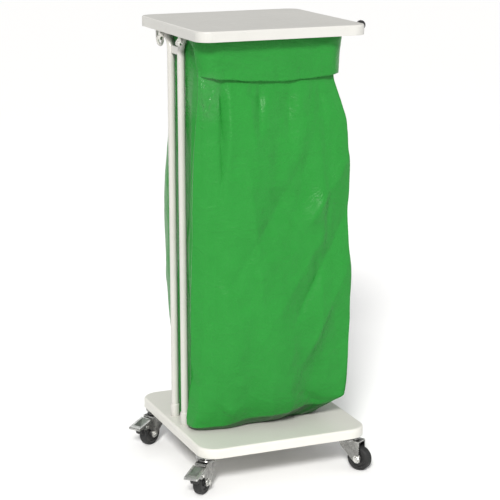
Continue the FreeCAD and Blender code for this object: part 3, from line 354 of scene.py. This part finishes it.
# the pedals' pressed panels are duller than their borders; the swivel heads are darker
CASTOR = {}
for side in ("left", "right"):
    o = node_object("brake_pedal_rear_" + side)
    head = node_object("castor_head_rear_" + side)
    hc = np.array([v.co for v in head.data.vertices], float).reshape(-1, 3)
    c0 = (hc.min(0) + hc.max(0)) / 2
    pv = np.array([v.co for v in o.data.vertices], float).reshape(-1, 3)
    far = pv[np.argmax(np.linalg.norm(pv[:, :2] - c0[:2], axis=1))]
    wheel = node_object("wheel_core_rear_" + side)
    wc = np.array([v.co for v in wheel.data.vertices], float).reshape(-1, 3)
    d = (wc.min(0) + wc.max(0))[:2] / 2 - c0[:2]
    d = d / np.linalg.norm(d)
    CASTOR[side] = (c0[:2], d)
    o.data.materials.clear()
    o.data.materials.append(MATS["pedal_zinc"])
    o.data.materials.append(MATS["pedal_panel"])
    for p in o.data.polygons:
        q = np.array(p.center)[:2] - c0[:2]
        u_, v_, z_ = (q @ d) * 1000, (q @ np.array([-d[1], d[0]])) * 1000, p.center[2] * 1000
        if abs(z_ - (58.3 - (u_ - 34.5) * 0.25)) < 0.2 and abs(v_) < 8.7:
            p.material_index = 1
for n in SLOT_OF:
    if n.startswith("castor_head"):
        node_object(n).data.materials[0] = MATS["head_zinc"]


# ------------------------------------------------------------------ the film bag
# Control points of the bag's sections, rear centre first, then round by the -Y side.
KEYS = [104, 125, 150, 200, 260, 330, 450, 575, 660, 708, 744, 775, 798, 866]


def track(values, z):
    """Monotone smooth interpolation of one size over height."""
    x, y = np.array(KEYS, float), np.array(values, float)
    h = np.diff(x)
    d = np.diff(y) / h
    mm = np.zeros(len(x))
    for i in range(1, len(x) - 1):
        if d[i - 1] * d[i] > 0:
            w1, w2 = 2 * h[i] + h[i - 1], h[i] + 2 * h[i - 1]
            mm[i] = (w1 + w2) / (w1 / d[i - 1] + w2 / d[i])
    z = np.clip(z, x[0], x[-1])
    i = np.clip(np.searchsorted(x, z, side="right") - 1, 0, len(x) - 2)
    t = (z - x[i]) / h[i]
    return ((2 * t**3 - 3 * t**2 + 1) * y[i] + (t**3 - 2 * t**2 + t) * h[i] * mm[i]
            + (-2 * t**3 + 3 * t**2) * y[i + 1] + (t**3 - t**2) * h[i] * mm[i + 1])


T = {  # heights:    104   125   150   200   260   330   450   575   660   708   744   775   798   866
    "rear":       [-145.6, -146, -147.2, -147.2, -147.2, -147.2, -147.2, -147.2, -147.2, -147.2, -147.2, -147.2, -147.2, -147.4],
    "flank":      [-158, -160, -160, -160, -160, -159, -158, -158, -157, -155, -153, -151, -150, -147.6],
    "fold_x":     [-165, -167, -167, -168, -168, -168, -168, -167, -165, -162, -160, -158, -157, -155],
    "fold_y":     [-60, -67, -74, -84, -92, -98, -106, -113, -116, -118, -119, -120, -119, -118],
    "band_x":     [-158, -157, -155, -154, -152, -151, -150, -150, -149, -148, -147, -146, -145, -141],
    "band_y":     [-84, -93, -101, -107, -113, -117, -122, -125, -126, -126, -126, -126, -126, -126],
    "near":       [-104, -113, -125, -136, -143, -147, -150, -150, -148, -145, -141, -137, -134.5, -133.6],
    "corner_x":   [104, 126, 152, 157.5, 157.5, 157, 154, 150.5, 148.5, 146, 136, 127, 122, 121],
    "corner_y":   [-84, -108, -137, -140, -141, -141, -140, -139, -138, -137, -131, -127, -124, -123],
    "front":      [138, 144, 153, 159, 161, 161, 159, 156, 153, 149, 142, 134, 128, 128.5],
    "far":        [100, 112, 124, 136, 143, 147, 150, 150, 148, 145, 141, 137, 134.5, 133.6],
    "tuck":       [40, 34, 26, 17, 9, 4, 0, 4, 11, 13, 13, 13, 13, 13],
}


def section(z):
    """24 control points at the heights z, as an array [rows, 24, 2]."""
    g = {k: track(v, z) for k, v in T.items()}
    one = np.ones_like(z)
    near, far, fx = g["near"], g["far"], g["front"]
    bulge = 2.2 * np.clip((z - 140) / 200, 0, 1) * np.clip((790 - z) / 200, 0, 1)
    sx, sy = 0.924 * g["tuck"], -0.383 * g["tuck"]
    p = [
        (g["rear"], 0 * one), (g["rear"], -43 * one), (g["flank"] + 6, np.interp(z, [110, 260], [-50, -61])), (g["fold_x"], g["fold_y"]),
        (g["band_x"], g["band_y"]), (-112 * one, near * np.interp(z, [120, 300, 760, 830], [0.975, 0.955, 0.955, 0.985])), (-52 * one, near - bulge), (8 * one, near - 1.3 * bulge), (66 * one, near - bulge),
        (np.minimum(116, g["corner_x"] - 22), near * 0.7 + g["corner_y"] * 0.3), (g["corner_x"], g["corner_y"]), (fx - 0.5, g["corner_y"] * 0.68),
        (fx + bulge, -32 * one), (fx + bulge, 38 * one), (fx - 1, far * 0.70), (fx - 13, far - 12), (fx - 52, far), (30 * one, far + bulge),
        (-38 * one, far + bulge), (np.minimum(-92 + sx, -60), far - 2 + sy * 0.5), (-131 + sx, 138 + sy - (150 - far) * 0.9),
        (-150 + sx, 95 + sy - (150 - far) * 0.3), (np.maximum(g["flank"] + 2, -152 + sx), 62 * one), (g["rear"], 43 * one),
    ]
    return np.stack([np.stack(np.broadcast_arrays(a, b), -1) for a, b in p], 1)


SHARP = {3: 0.0, 4: 0.6, 10: 0.25}
COUNT = np.array([13, 7, 11, 13, 14, 17, 17, 17, 15, 13, 13, 17, 19, 17, 13, 12, 15, 18, 15, 14, 13, 11, 7, 13])  # columns per span
COLS = int(COUNT.sum())


def round_section(P):
    """Smooth closed curves through the control points [rows, 24, 2] -> [rows, COLS, 2]."""
    n = P.shape[1]
    nxt, prv = np.roll(P, -1, 1), np.roll(P, 1, 1)
    h = np.linalg.norm(nxt - P, axis=2, keepdims=True)
    hp = np.roll(h, 1, 1)
    dn, dp = (nxt - P) / h, (P - prv) / hp
    tan = (dn * hp + dp * h) / (h + hp)
    out_t, in_t = tan.copy(), tan.copy()
    for k, soft in SHARP.items():
        out_t[:, k] = tan[:, k] * soft + dn[:, k] * (1 - soft)
        in_t[:, k] = tan[:, k] * soft + dp[:, k] * (1 - soft)
    cols = []
    for k in range(n):
        j = (k + 1) % n
        for i in range(COUNT[k]):
            t = i / COUNT[k]
            cols.append((2 * t**3 - 3 * t**2 + 1) * P[:, k] + (t**3 - 2 * t**2 + t) * h[:, k] * out_t[:, k]
                        + (-2 * t**3 + 3 * t**2) * P[:, j] + (t**3 - t**2) * h[:, k] * in_t[:, j])
    return np.stack(cols, 1)


def spread(values):
    """One number per control point -> one per column, smoothly."""
    v = np.array(values, float)
    out = []
    for k in range(24):
        j = (k + 1) % 24
        for i in range(COUNT[k]):
            t = i / COUNT[k]
            t = t * t * (3 - 2 * t)
            out.append(v[k] * (1 - t) + v[j] * t)
    return np.array(out)


# the ring's centre line at each column
RX0, RX1, RY, RR, RZ = -156.2, 138.0, 140.0, 37.0, 886.0


def ring_loop():
    pts = []
    for i in range(60):
        pts.append((RX0, -(RY - RR) * i / 60))
    for cx, cy, a0 in ((RX0 + RR, -(RY - RR), 180), (RX1 - RR, -(RY - RR), 270), (RX1 - RR, RY - RR, 0), (RX0 + RR, RY - RR, 90)):
        for i in range(60):
            a = math.radians(a0 + 90 * i / 60)
            pts.append((cx + RR * math.cos(a), cy + RR * math.sin(a)))
        if a0 == 180:
            pts += [(RX0 + RR + (RX1 - RX0 - 2 * RR) * i / 120, -RY) for i in range(120)]
        elif a0 == 270:
            pts += [(RX1, -(RY - RR) + 2 * (RY - RR) * i / 120) for i in range(120)]
        elif a0 == 0:
            pts += [(RX1 - RR - (RX1 - RX0 - 2 * RR) * i / 120, RY) for i in range(120)]
        else:
            pts += [(RX0, (RY - RR) * (1 - i / 60)) for i in range(60)]
    return np.array(pts)


LOOP = ring_loop()
step = np.linalg.norm(np.roll(LOOP, -1, 0) - LOOP, axis=1)
ARC = np.concatenate([[0], np.cumsum(step)])
tang = np.roll(LOOP, -1, 0) - np.roll(LOOP, 1, 0)
tang /= np.linalg.norm(tang, axis=1, keepdims=True)
OUTN = np.stack([tang[:, 1], -tang[:, 0]], 1)
ON_RING = [(-156, 0), (-156, -43), (-156, -62), (-154.6, -112.5), (-141, -133), (-112, -140), (-52, -140), (8, -140), (62, -140), (96, -140),
           (127, -129), (138, -97), (138, -32), (138, 38), (138, 92), (127, 129), (90, 140), (30, 140), (-38, 140), (-96, 140), (-133, 137),
           (-154, 112), (-156, 62), (-156, 43)]
at = [ARC[int(np.argmin(np.linalg.norm(LOOP - np.array(q), axis=1)))] for q in ON_RING]
at[0] = 0.0
col_arc = []
for k in range(24):
    a0, a1 = at[k], (at[k + 1] if k < 23 else ARC[-1])
    col_arc += [a0 + (a1 - a0) * i / COUNT[k] for i in range(COUNT[k])]
col_arc = np.array(col_arc)


def on_ring(a):
    a = np.mod(a, ARC[-1])
    xs = np.concatenate([LOOP[:, 0], LOOP[:1, 0]])
    ys = np.concatenate([LOOP[:, 1], LOOP[:1, 1]])
    nx = np.concatenate([OUTN[:, 0], OUTN[:1, 0]])
    ny = np.concatenate([OUTN[:, 1], OUTN[:1, 1]])
    return np.stack([np.interp(a, ARC, xs), np.interp(a, ARC, ys)], -1), np.stack([np.interp(a, ARC, nx), np.interp(a, ARC, ny)], -1)


RING_P, RING_N = on_ring(col_arc)

# lower edge of the film at each control point, and of the cuff's hem
EDGE_Z = spread([101, 101, 103, 107, 106, 108, 120, 128, 131, 131, 133, 128, 120, 112, 107, 107, 105, 103, 103, 105, 107, 105, 102, 101])
HEM_Z = spread([886.5, 886.5, 886, 811, 809, 805, 799, 796, 798, 801, 804, 806, 803, 800, 802, 806, 803, 799, 800, 812, 874, 886, 886.5, 886.5])
first = int(COUNT[:3].sum())
for j, hz in enumerate((864, 868, 871, 874, 877, 880, 882, 884, 886, 886.5, 886.5), start=1):
    HEM_Z[first - j] = hz
# how far in the film touches down on the base, as a share of the edge's distance from the centre
TOUCH = spread([0.93, 0.93, 0.95, 0.95, 0.89, 0.85, 0.70, 0.64, 0.62, 0.60, 0.58, 0.78, 0.76, 0.84, 0.86, 0.86, 0.88, 0.9, 0.9, 0.88, 0.86, 0.88, 0.9, 0.92])

rng = np.random.default_rng(20)
N_WALL, N_BAR, N_CUFF, N_UNDER = 200, 9, 28, 20
# distance round the bag, measured at mid height, from the near rear fold
mid = round_section(section(np.array([430.0])))[0]
seg = np.linalg.norm(np.roll(mid, -1, 0) - mid, axis=1)
around = np.concatenate([[0], np.cumsum(seg)[:-1]])
LAP = float(seg.sum())
FOLD_COL = int(COUNT[:3].sum())
AROUND = np.mod(around - around[FOLD_COL], LAP)


def lap_diff(a, b):
    return (a - b + LAP / 2) % LAP - LAP / 2


def near_at(x):
    """Distance round the bag of a point of the near face at x."""
    face = slice(FOLD_COL, int(COUNT[:10].sum()))
    return float(np.interp(x, mid[face, 0], AROUND[face]))


def tent(A, Z, a0, z0, a1, z1, width, height, sharp=1.5, fade=0.25):
    """A crease: a ridge (or a valley) along the line from (a0, z0) to (a1, z1)."""
    da, dz = a1 - a0, z1 - z0
    length = math.hypot(da, dz)
    ua, uz = da / length, dz / length
    ra, rz = lap_diff(A, a0), Z - z0
    along = (ra * ua + rz * uz) / length
    off = -ra * uz + rz * ua
    d = np.sqrt(off * off + sharp * sharp) - sharp
    end = np.clip(np.minimum(along, 1 - along) / fade + 0.5, 0, 1)
    end = end * end * (3 - 2 * end)
    return height * np.exp(-d / width) * end


def smooth_noise(A, Z, wa, wz, seed):
    """Tileable value noise over (A, Z) with cells wa by wz."""
    na = max(3, round(LAP / wa))
    g = np.random.default_rng(seed).normal(size=(na, 80))
    a = np.mod(A, LAP) / LAP * na
    z = Z / wz + 5
    ia, iz = np.floor(a).astype(int), np.floor(z).astype(int)
    fa, fz = a - ia, z - iz
    fa, fz = fa**3 * (fa * (fa * 6 - 15) + 10), fz**3 * (fz * (fz * 6 - 15) + 10)
    ia0, ia1, iz0, iz1 = ia % na, (ia + 1) % na, np.clip(iz, 0, 79), np.clip(iz + 1, 0, 79)
    return (g[ia0, iz0] * (1 - fa) + g[ia1, iz0] * fa) * (1 - fz) + (g[ia0, iz1] * (1 - fa) + g[ia1, iz1] * fa) * fz


def wall_relief(A, Z):
    """Outward relief of the wall in mm."""
    fade_top = np.clip((806 - Z) / 40, 0, 1)
    d = 1.8 * smooth_noise(A, Z, 95, 210, 1) + 1.1 * smooth_noise(A, Z, 48, 120, 2) + 0.35 * smooth_noise(A, Z, 22, 34, 3)
    # gathers that start under the cuff and run out downwards
    down = np.clip((800 - Z) / 260, 0, 1)
    gather = 0.0
    r = np.random.default_rng(7)
    for k in range(30):
        a0 = LAP * (k + r.uniform(-0.45, 0.45)) / 30
        length = r.uniform(40, 200)
        lean_ = r.uniform(-0.16, 0.16) * length
        gather = gather + tent(A, Z, a0, 812, a0 + lean_, 812 - length, r.uniform(4.0, 11.0), r.uniform(-1.5, 0.9), 2.2, 0.5)
    d = d + gather * (1 - 0.4 * down)
    # long slack folds over the faces
    for k in range(44):
        a0, z0 = r.uniform(0, LAP), r.uniform(170, 700)
        ang = r.choice([r.normal(90, 14), r.normal(58, 12), r.normal(122, 12)])
        ln = r.uniform(110, 330)
        ca, sa = math.cos(math.radians(ang)), math.sin(math.radians(ang))
        d = d + tent(A, Z, a0 - ca * ln / 2, z0 - sa * ln / 2, a0 + ca * ln / 2, z0 + sa * ln / 2, r.uniform(9, 28), r.uniform(-3.3, 3.4), 1.4, 0.45)
    # short level wrinkles
    for k in range(120):
        a0, z0 = r.uniform(0, LAP), r.uniform(150, 760)
        ang = math.radians(r.normal(0, 9))
        ln = r.uniform(18, 58)
        d = d + tent(A, Z, a0, z0, a0 + ln * math.cos(ang), z0 + ln * math.sin(ang), r.uniform(1.8, 4.5), r.uniform(-0.28, 0.34), 1.0, 0.45)
    # crumple near the lower edge
    low = np.clip((210 - Z) / 90, 0, 1)
    for k in range(44):
        a0, z0 = r.uniform(0, LAP), r.uniform(100, 200)
        ang = math.radians(r.uniform(20, 160))
        ln = r.uniform(28, 90)
        d = d + low * tent(A, Z, a0, z0, a0 + ln * math.cos(ang), z0 + ln * math.sin(ang), r.uniform(5, 14), r.uniform(-1.4, 1.6), 1.5, 0.45)
    # the folds of the near face that show most
    def px(x0, z0, x1, z1, w, hgt, sharp=1.5, fade=0.25):
        return tent(A, Z, near_at(x0), z0, near_at(x1), z1, w, hgt, sharp, fade)
    d = d + px(-113, 815, -119, 585, 6.0, -3.6, 1.2, 0.5)
    d = d + px(-98, 815, -102, 640, 8.0, 1.8, 2.0, 0.5)
    d = d + px(-142, 700, -146, 250, 9.0, 1.5, 2.0, 0.4)
    d = d + px(-128, 640, -131, 180, 10.0, -1.8, 2.0, 0.4)
    d = d + px(-33, 812, -42, 700, 9.0, -2.4, 2.0, 0.5)
    d = d + px(-46, 806, -58, 772, 10.0, -2.6, 2.0, 0.5)
    d = d + px(28, 812, 22, 690, 8.0, -1.7, 2.0, 0.5)
    d = d + px(92, 815, 104, 560, 9.0, -1.6, 2.0, 0.5)
    # V crinkle under the left end of the cuff
    d = d + px(-160, 796, -147, 741, 2.4, 3.0, 0.4, 0.2)
    d = d + px(-118, 806, -147, 741, 2.6, 3.2, 0.4, 0.2)
    d = d + px(-160, 768, -146, 756, 1.8, 1.3, 0.4, 0.3)
    d = d + px(-136, 800, -138, 752, 5.0, -2.4, 1.2, 0.4)
    d = d + px(-154, 800, -128, 790, 3.0, -1.8, 0.7, 0.3)
    # slanting slack on the right half
    d = d + px(152, 640, 62, 520, 20.0, 5.0, 1.4, 0.35)
    d = d + px(152, 540, 40, 330, 26.0, -6.0, 1.6, 0.35)
    d = d + px(150, 430, 60, 240, 24.0, 5.0, 1.6, 0.35)
    d = d + px(120, 330, 150, 140, 18.0, -4.0, 1.4, 0.35)
    d = d + px(-60, 600, 30, 590, 12.0, 0.8, 2.0, 0.4)
    d = d + px(-100, 330, 20, 250, 26.0, 1.2, 3.0, 0.4)
    d = d + px(-150, 190, -70, 125, 14.0, 1.5, 2.0, 0.4)
    d = d + px(60, 160, 110, 128, 9.0, -1.6, 1.5, 0.4)
    # level wrinkles of the near face's middle
    for x0, z0, ln, h in ((-42, 708, 46, 0.45), (-30, 690, 60, -0.4), (-36, 660, 52, 0.5), (-20, 652, 44, -0.3), (-60, 610, 80, 0.4), (-74, 560, 60, 0.35),
                          (-44, 545, 40, -0.3), (-40, 500, 56, 0.45), (-58, 470, 40, 0.3), (-20, 462, 48, 0.4), (10, 420, 40, -0.3), (-90, 420, 50, 0.3)):
        d = d + px(x0, z0, x0 + ln, z0 - 3, 2.6, h, 0.8, 0.4)
    a_lo, a_hi = near_at(-128), near_at(112)
    inside = np.clip((A - a_lo) / 22, 0, 1) * np.clip((a_hi - A) / 30, 0, 1)
    return np.clip((1.15 + 1.35 * inside) * d, -12, 8) * fade_top


# wall
tt = np.linspace(0, 1, N_WALL)
tt = tt - 0.04 * np.sin(2 * np.pi * tt) / (2 * np.pi)
Z = EDGE_Z[None, :] + (RZ - EDGE_Z[None, :]) * tt[:, None]
heights = np.linspace(100, 886, 400)
table = round_section(section(heights))
rowf = np.clip((Z - heights[0]) / (heights[1] - heights[0]), 0, len(heights) - 1.001)
ri = rowf.astype(int)
rf = (rowf - ri)[..., None]
ci = np.broadcast_to(np.arange(COLS), Z.shape)
XY = table[ri, ci] * (1 - rf) + table[ri + 1, ci] * rf
blend = np.clip((Z - 862) / 22, 0, 1)
blend = (blend * blend * (3 - 2 * blend))[..., None]
inner = (RING_P - RING_N * 5.7)[None]
XY = XY * (1 - blend) + inner * blend
# the film is drawn in just behind the near rear fold
c2 = int(COUNT[:2].sum())
gus = np.clip((np.arange(COLS) - c2) / (FOLD_COL - c2), 0, 1) * (np.arange(COLS) <= FOLD_COL)
gus = np.sin(np.pi * gus ** 1.35) ** 1.2
gd = np.interp(Z, [104, 150, 250, 420, 760, 830, 872], [1.0, 8.0, 18.0, 25.0, 26.0, 17.0, 0.0])
XY = XY + (gd * gus[None])[..., None] * np.array([0.96, 0.28])
W = np.concatenate([XY, Z[..., None]], -1)


def blur_cols(G, sigma):
    k = np.arange(-6, 7)
    w = np.exp(-k * k / (2 * sigma * sigma))
    w /= w.sum()
    return sum(wi * np.roll(G, s, 1) for wi, s in zip(w, k))


W[..., :2] = blur_cols(W[..., :2], 0.55)


def normals(G):
    du = np.roll(G, -1, 1) - np.roll(G, 1, 1)
    dv = np.gradient(G, axis=0)
    n = np.cross(du, dv)
    return n / np.maximum(np.linalg.norm(n, axis=2, keepdims=True), 1e-9)


A2 = np.broadcast_to(AROUND, Z.shape)
N = normals(W)
sign = np.sign((N[100, :, :2] * (W[100, :, :2] - W[100, :, :2].mean(0))).sum())
W = W + sign * N * wall_relief(A2, Z)[..., None]

# over the ring's bar
bar = []
for i in range(1, N_BAR + 1):
    th = math.pi * i / (N_BAR + 1)
    off = -5.7 * math.cos(th) + 0.3 * i / N_BAR
    z = RZ + (5.9 * math.sin(th))
    bar.append(np.concatenate([RING_P + RING_N * off, np.full((COLS, 1), z)], 1))
bar = np.stack(bar)

# cuff: outside, from the bar down to the hem
s = np.linspace(0, 1, N_CUFF) ** 0.95
CZ = RZ + (HEM_Z[None] - RZ) * s[:, None]
drop = np.clip((RZ - CZ) / 83.0, 0, 1.1)
off = 6.1 + 0.9 * np.clip(drop / 0.12, 0, 1) - 6.8 * drop ** 1.15
r = np.random.default_rng(11)
crel = 0.9 * smooth_noise(np.broadcast_to(AROUND, CZ.shape), CZ, 60, 60, 5) + 0.5 * smooth_noise(np.broadcast_to(AROUND, CZ.shape), CZ, 26, 40, 6)
AC = np.broadcast_to(AROUND, CZ.shape)
for k in range(64):
    a0, z0 = r.uniform(0, LAP), r.uniform(806, 880)
    ang = math.radians(r.normal(0, 16))
    ln = r.uniform(25, 90)
    crel = crel + tent(AC, CZ, a0, z0, a0 + ln * math.cos(ang), z0 + ln * math.sin(ang), r.uniform(2.5, 7), r.uniform(-0.8, 0.9), 1.2, 0.45)
for k in range(40):  # small tucks at the hem
    a0 = LAP * (k + r.uniform(-0.4, 0.4)) / 40
    crel = crel + tent(AC, CZ, a0, 792, a0 + r.uniform(-8, 8), 792 + r.uniform(18, 48), r.uniform(2.0, 6.0), r.uniform(-1.9, 1.5), 1.0, 0.5)
crel = crel + tent(AC, CZ, near_at(-120), 862, near_at(-84), 850, 3.0, 1.6, 0.6, 0.4) + tent(AC, CZ, near_at(-150), 846, near_at(-60), 832, 6.0, 0.9, 1.5, 0.4)
crel = crel + tent(AC, CZ, near_at(64), 868, near_at(118), 862, 3.0, 1.5, 0.6, 0.4) + tent(AC, CZ, near_at(-6), 846, near_at(100), 820, 8.0, 0.9, 2.0, 0.4)
crel = crel * np.clip(drop / 0.18, 0, 1)
off = off + crel
C = np.concatenate([RING_P[None] + RING_N[None] * off[..., None], CZ[..., None]], -1)

# underside: rolled in from the edge, down to the base, and across it
centre = np.array([-2.0, 0.0])
under = []
E = W[0]
for i in range(1, N_UNDER + 1):
    t = i / N_UNDER
    k_in = 1 - (1 - TOUCH) * min(1.0, t / 0.45) if t < 0.45 else TOUCH * (1 - (t - 0.45) / 0.55 * 0.97)
    k_in = np.broadcast_to(k_in, (COLS,))
    q = centre + (E[:, :2] - centre) * k_in[:, None]
    fall = np.clip(t / 0.45, 0, 1)
    zz = 96.0 + (E[:, 2] - 96.0) * (1 - fall) ** 1.3
    zz = zz + 0.5 * np.abs(smooth_noise(AROUND, np.full(COLS, 40.0 * i), 40, 60, 9)) * fall
    under.append(np.concatenate([q, zz[:, None]], 1))
under = np.stack(under)[::-1]

G = np.concatenate([under, W, bar, C], 0)
rows = G.shape[0]

# the film stays off the uprights, the ferrules and the base
gx, gy, gz = G[..., 0], G[..., 1], G[..., 2]
wall_rows = np.zeros(rows, bool)
wall_rows[:N_UNDER + N_WALL - 3] = True
keep_x = np.where(gz < 124, -146.6, -147.9)
low_rear = wall_rows[:, None] & (np.abs(gy) < np.where(gz > 842, 62, 42)) & (gx < 0)
G[..., 0] = np.where(low_rear, np.maximum(gx, keep_x), gx)
G[..., 2] = np.where(gz < 95.5, 95.5, gz)

verts = [tuple(p) for p in (G.reshape(-1, 3) * MM)]
faces = []
for i in range(rows - 1):
    for j in range(COLS):
        k = (j + 1) % COLS
        faces.append((i * COLS + j, i * COLS + k, (i + 1) * COLS + k, (i + 1) * COLS + j))
mid_v = len(verts)
verts.append((float(centre[0]) * MM, 0.0, 0.0960))
for j in range(COLS):
    faces.append((mid_v, (j + 1) % COLS, j))
me = bpy.data.meshes.new("film_bag")
me.from_pydata(verts, [], faces)
me.validate()
me.shade_smooth()
me.set_sharp_from_angle(angle=math.radians(48))
me.materials.append(MATS["bag_film"])
me.materials.append(MATS["film_double"])
# painted shade: the underside rows and the bottom cap take the darker film copy
under_faces = N_UNDER * COLS
for p in me.polygons:
    if p.index < under_faces - COLS or p.index >= (rows - 1) * COLS:
        p.material_index = 1
edge_v = set(range(N_UNDER * COLS, (N_UNDER + 1) * COLS))
for e in me.edges:
    if e.vertices[0] in edge_v and e.vertices[1] in edge_v:
        e.use_edge_sharp = True
bag = bpy.data.objects.new("film_bag", me)
bpy.context.scene.collection.objects.link(bag)


def use_modifiers(o):
    """Replace the mesh by what its modifiers make."""
    dg = bpy.context.evaluated_depsgraph_get()
    new = bpy.data.meshes.new_from_object(o.evaluated_get(dg))
    o.modifiers.clear()
    o.data = new


sol = bag.modifiers.new("film", "SOLIDIFY")
sol.thickness = 0.0003
sol.offset = 0.0
use_modifiers(bag)
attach(bag, "root")
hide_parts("bag")

# ------------------------------------------------------------------ floor, world and lights
floor_mat = Tree("m_floor")
floor_mat.set(Base_Color=(0.92, 0.92, 0.92), Roughness=0.85, Specular_IOR_Level=0.15)
fm = bpy.data.meshes.new("floor")
fm.from_pydata([(-60, -60, 0), (60, -60, 0), (60, 60, 0), (-60, 60, 0)], [], [(0, 1, 2, 3)])
fm.materials.append(floor_mat.mat)
floor = bpy.data.objects.new("floor", fm)
bpy.context.scene.collection.objects.link(floor)

world = bpy.data.worlds.new("studio")
world.use_nodes = True
wn = world.node_tree
wtc = wn.nodes.new("ShaderNodeTexCoord")
wdot = wn.nodes.new("ShaderNodeVectorMath")
wdot.operation = "DOT_PRODUCT"
wdot.inputs[1].default_value = (0.30, -0.78, 0.55)
wn.links.new(wtc.outputs["Generated"], wdot.inputs[0])
wmap = wn.nodes.new("ShaderNodeMapRange")
wmap.inputs["From Min"].default_value, wmap.inputs["From Max"].default_value = -1.0, 1.0
wmap.inputs["To Min"].default_value, wmap.inputs["To Max"].default_value = 0.26, 0.66
wn.links.new(wdot.outputs["Value"], wmap.inputs["Value"])
wn.links.new(wmap.outputs[0], wn.nodes["Background"].inputs["Strength"])
wn.nodes["Background"].inputs["Color"].default_value = (1.0, 1.0, 1.0, 1)
bpy.context.scene.world = world


def softbox(name, place, target, size, power, colour=(1, 1, 1)):
    d = bpy.data.lights.new(name, "AREA")
    d.shape = "RECTANGLE"
    d.size, d.size_y = size
    d.energy = power
    d.color = colour
    o = bpy.data.objects.new(name, d)
    o.location = place
    o.rotation_euler = (Vector(target) - Vector(place)).to_track_quat("-Z", "Y").to_euler()
    bpy.context.scene.collection.objects.link(o)


sun = bpy.data.lights.new("sun", "SUN")
sun.energy = 3.2
sun.angle = math.radians(11)
sun.color = (1.0, 0.99, 0.97)
sun_o = bpy.data.objects.new("sun", sun)
sun_o.rotation_euler = Vector((1.62, 3.0, -2.35)).to_track_quat("-Z", "Y").to_euler()
bpy.context.scene.collection.objects.link(sun_o)
softbox("key", (-1.5, -3.0, 2.3), (0, 0, 0.5), (0.9, 0.9), 18, (1.0, 0.985, 0.96))
softbox("fill", (2.6, -2.3, 1.4), (0, 0, 0.5), (1.4, 1.8), 8)
softbox("rim", (-0.6, 2.6, 2.4), (0, 0, 0.6), (1.6, 1.2), 12)
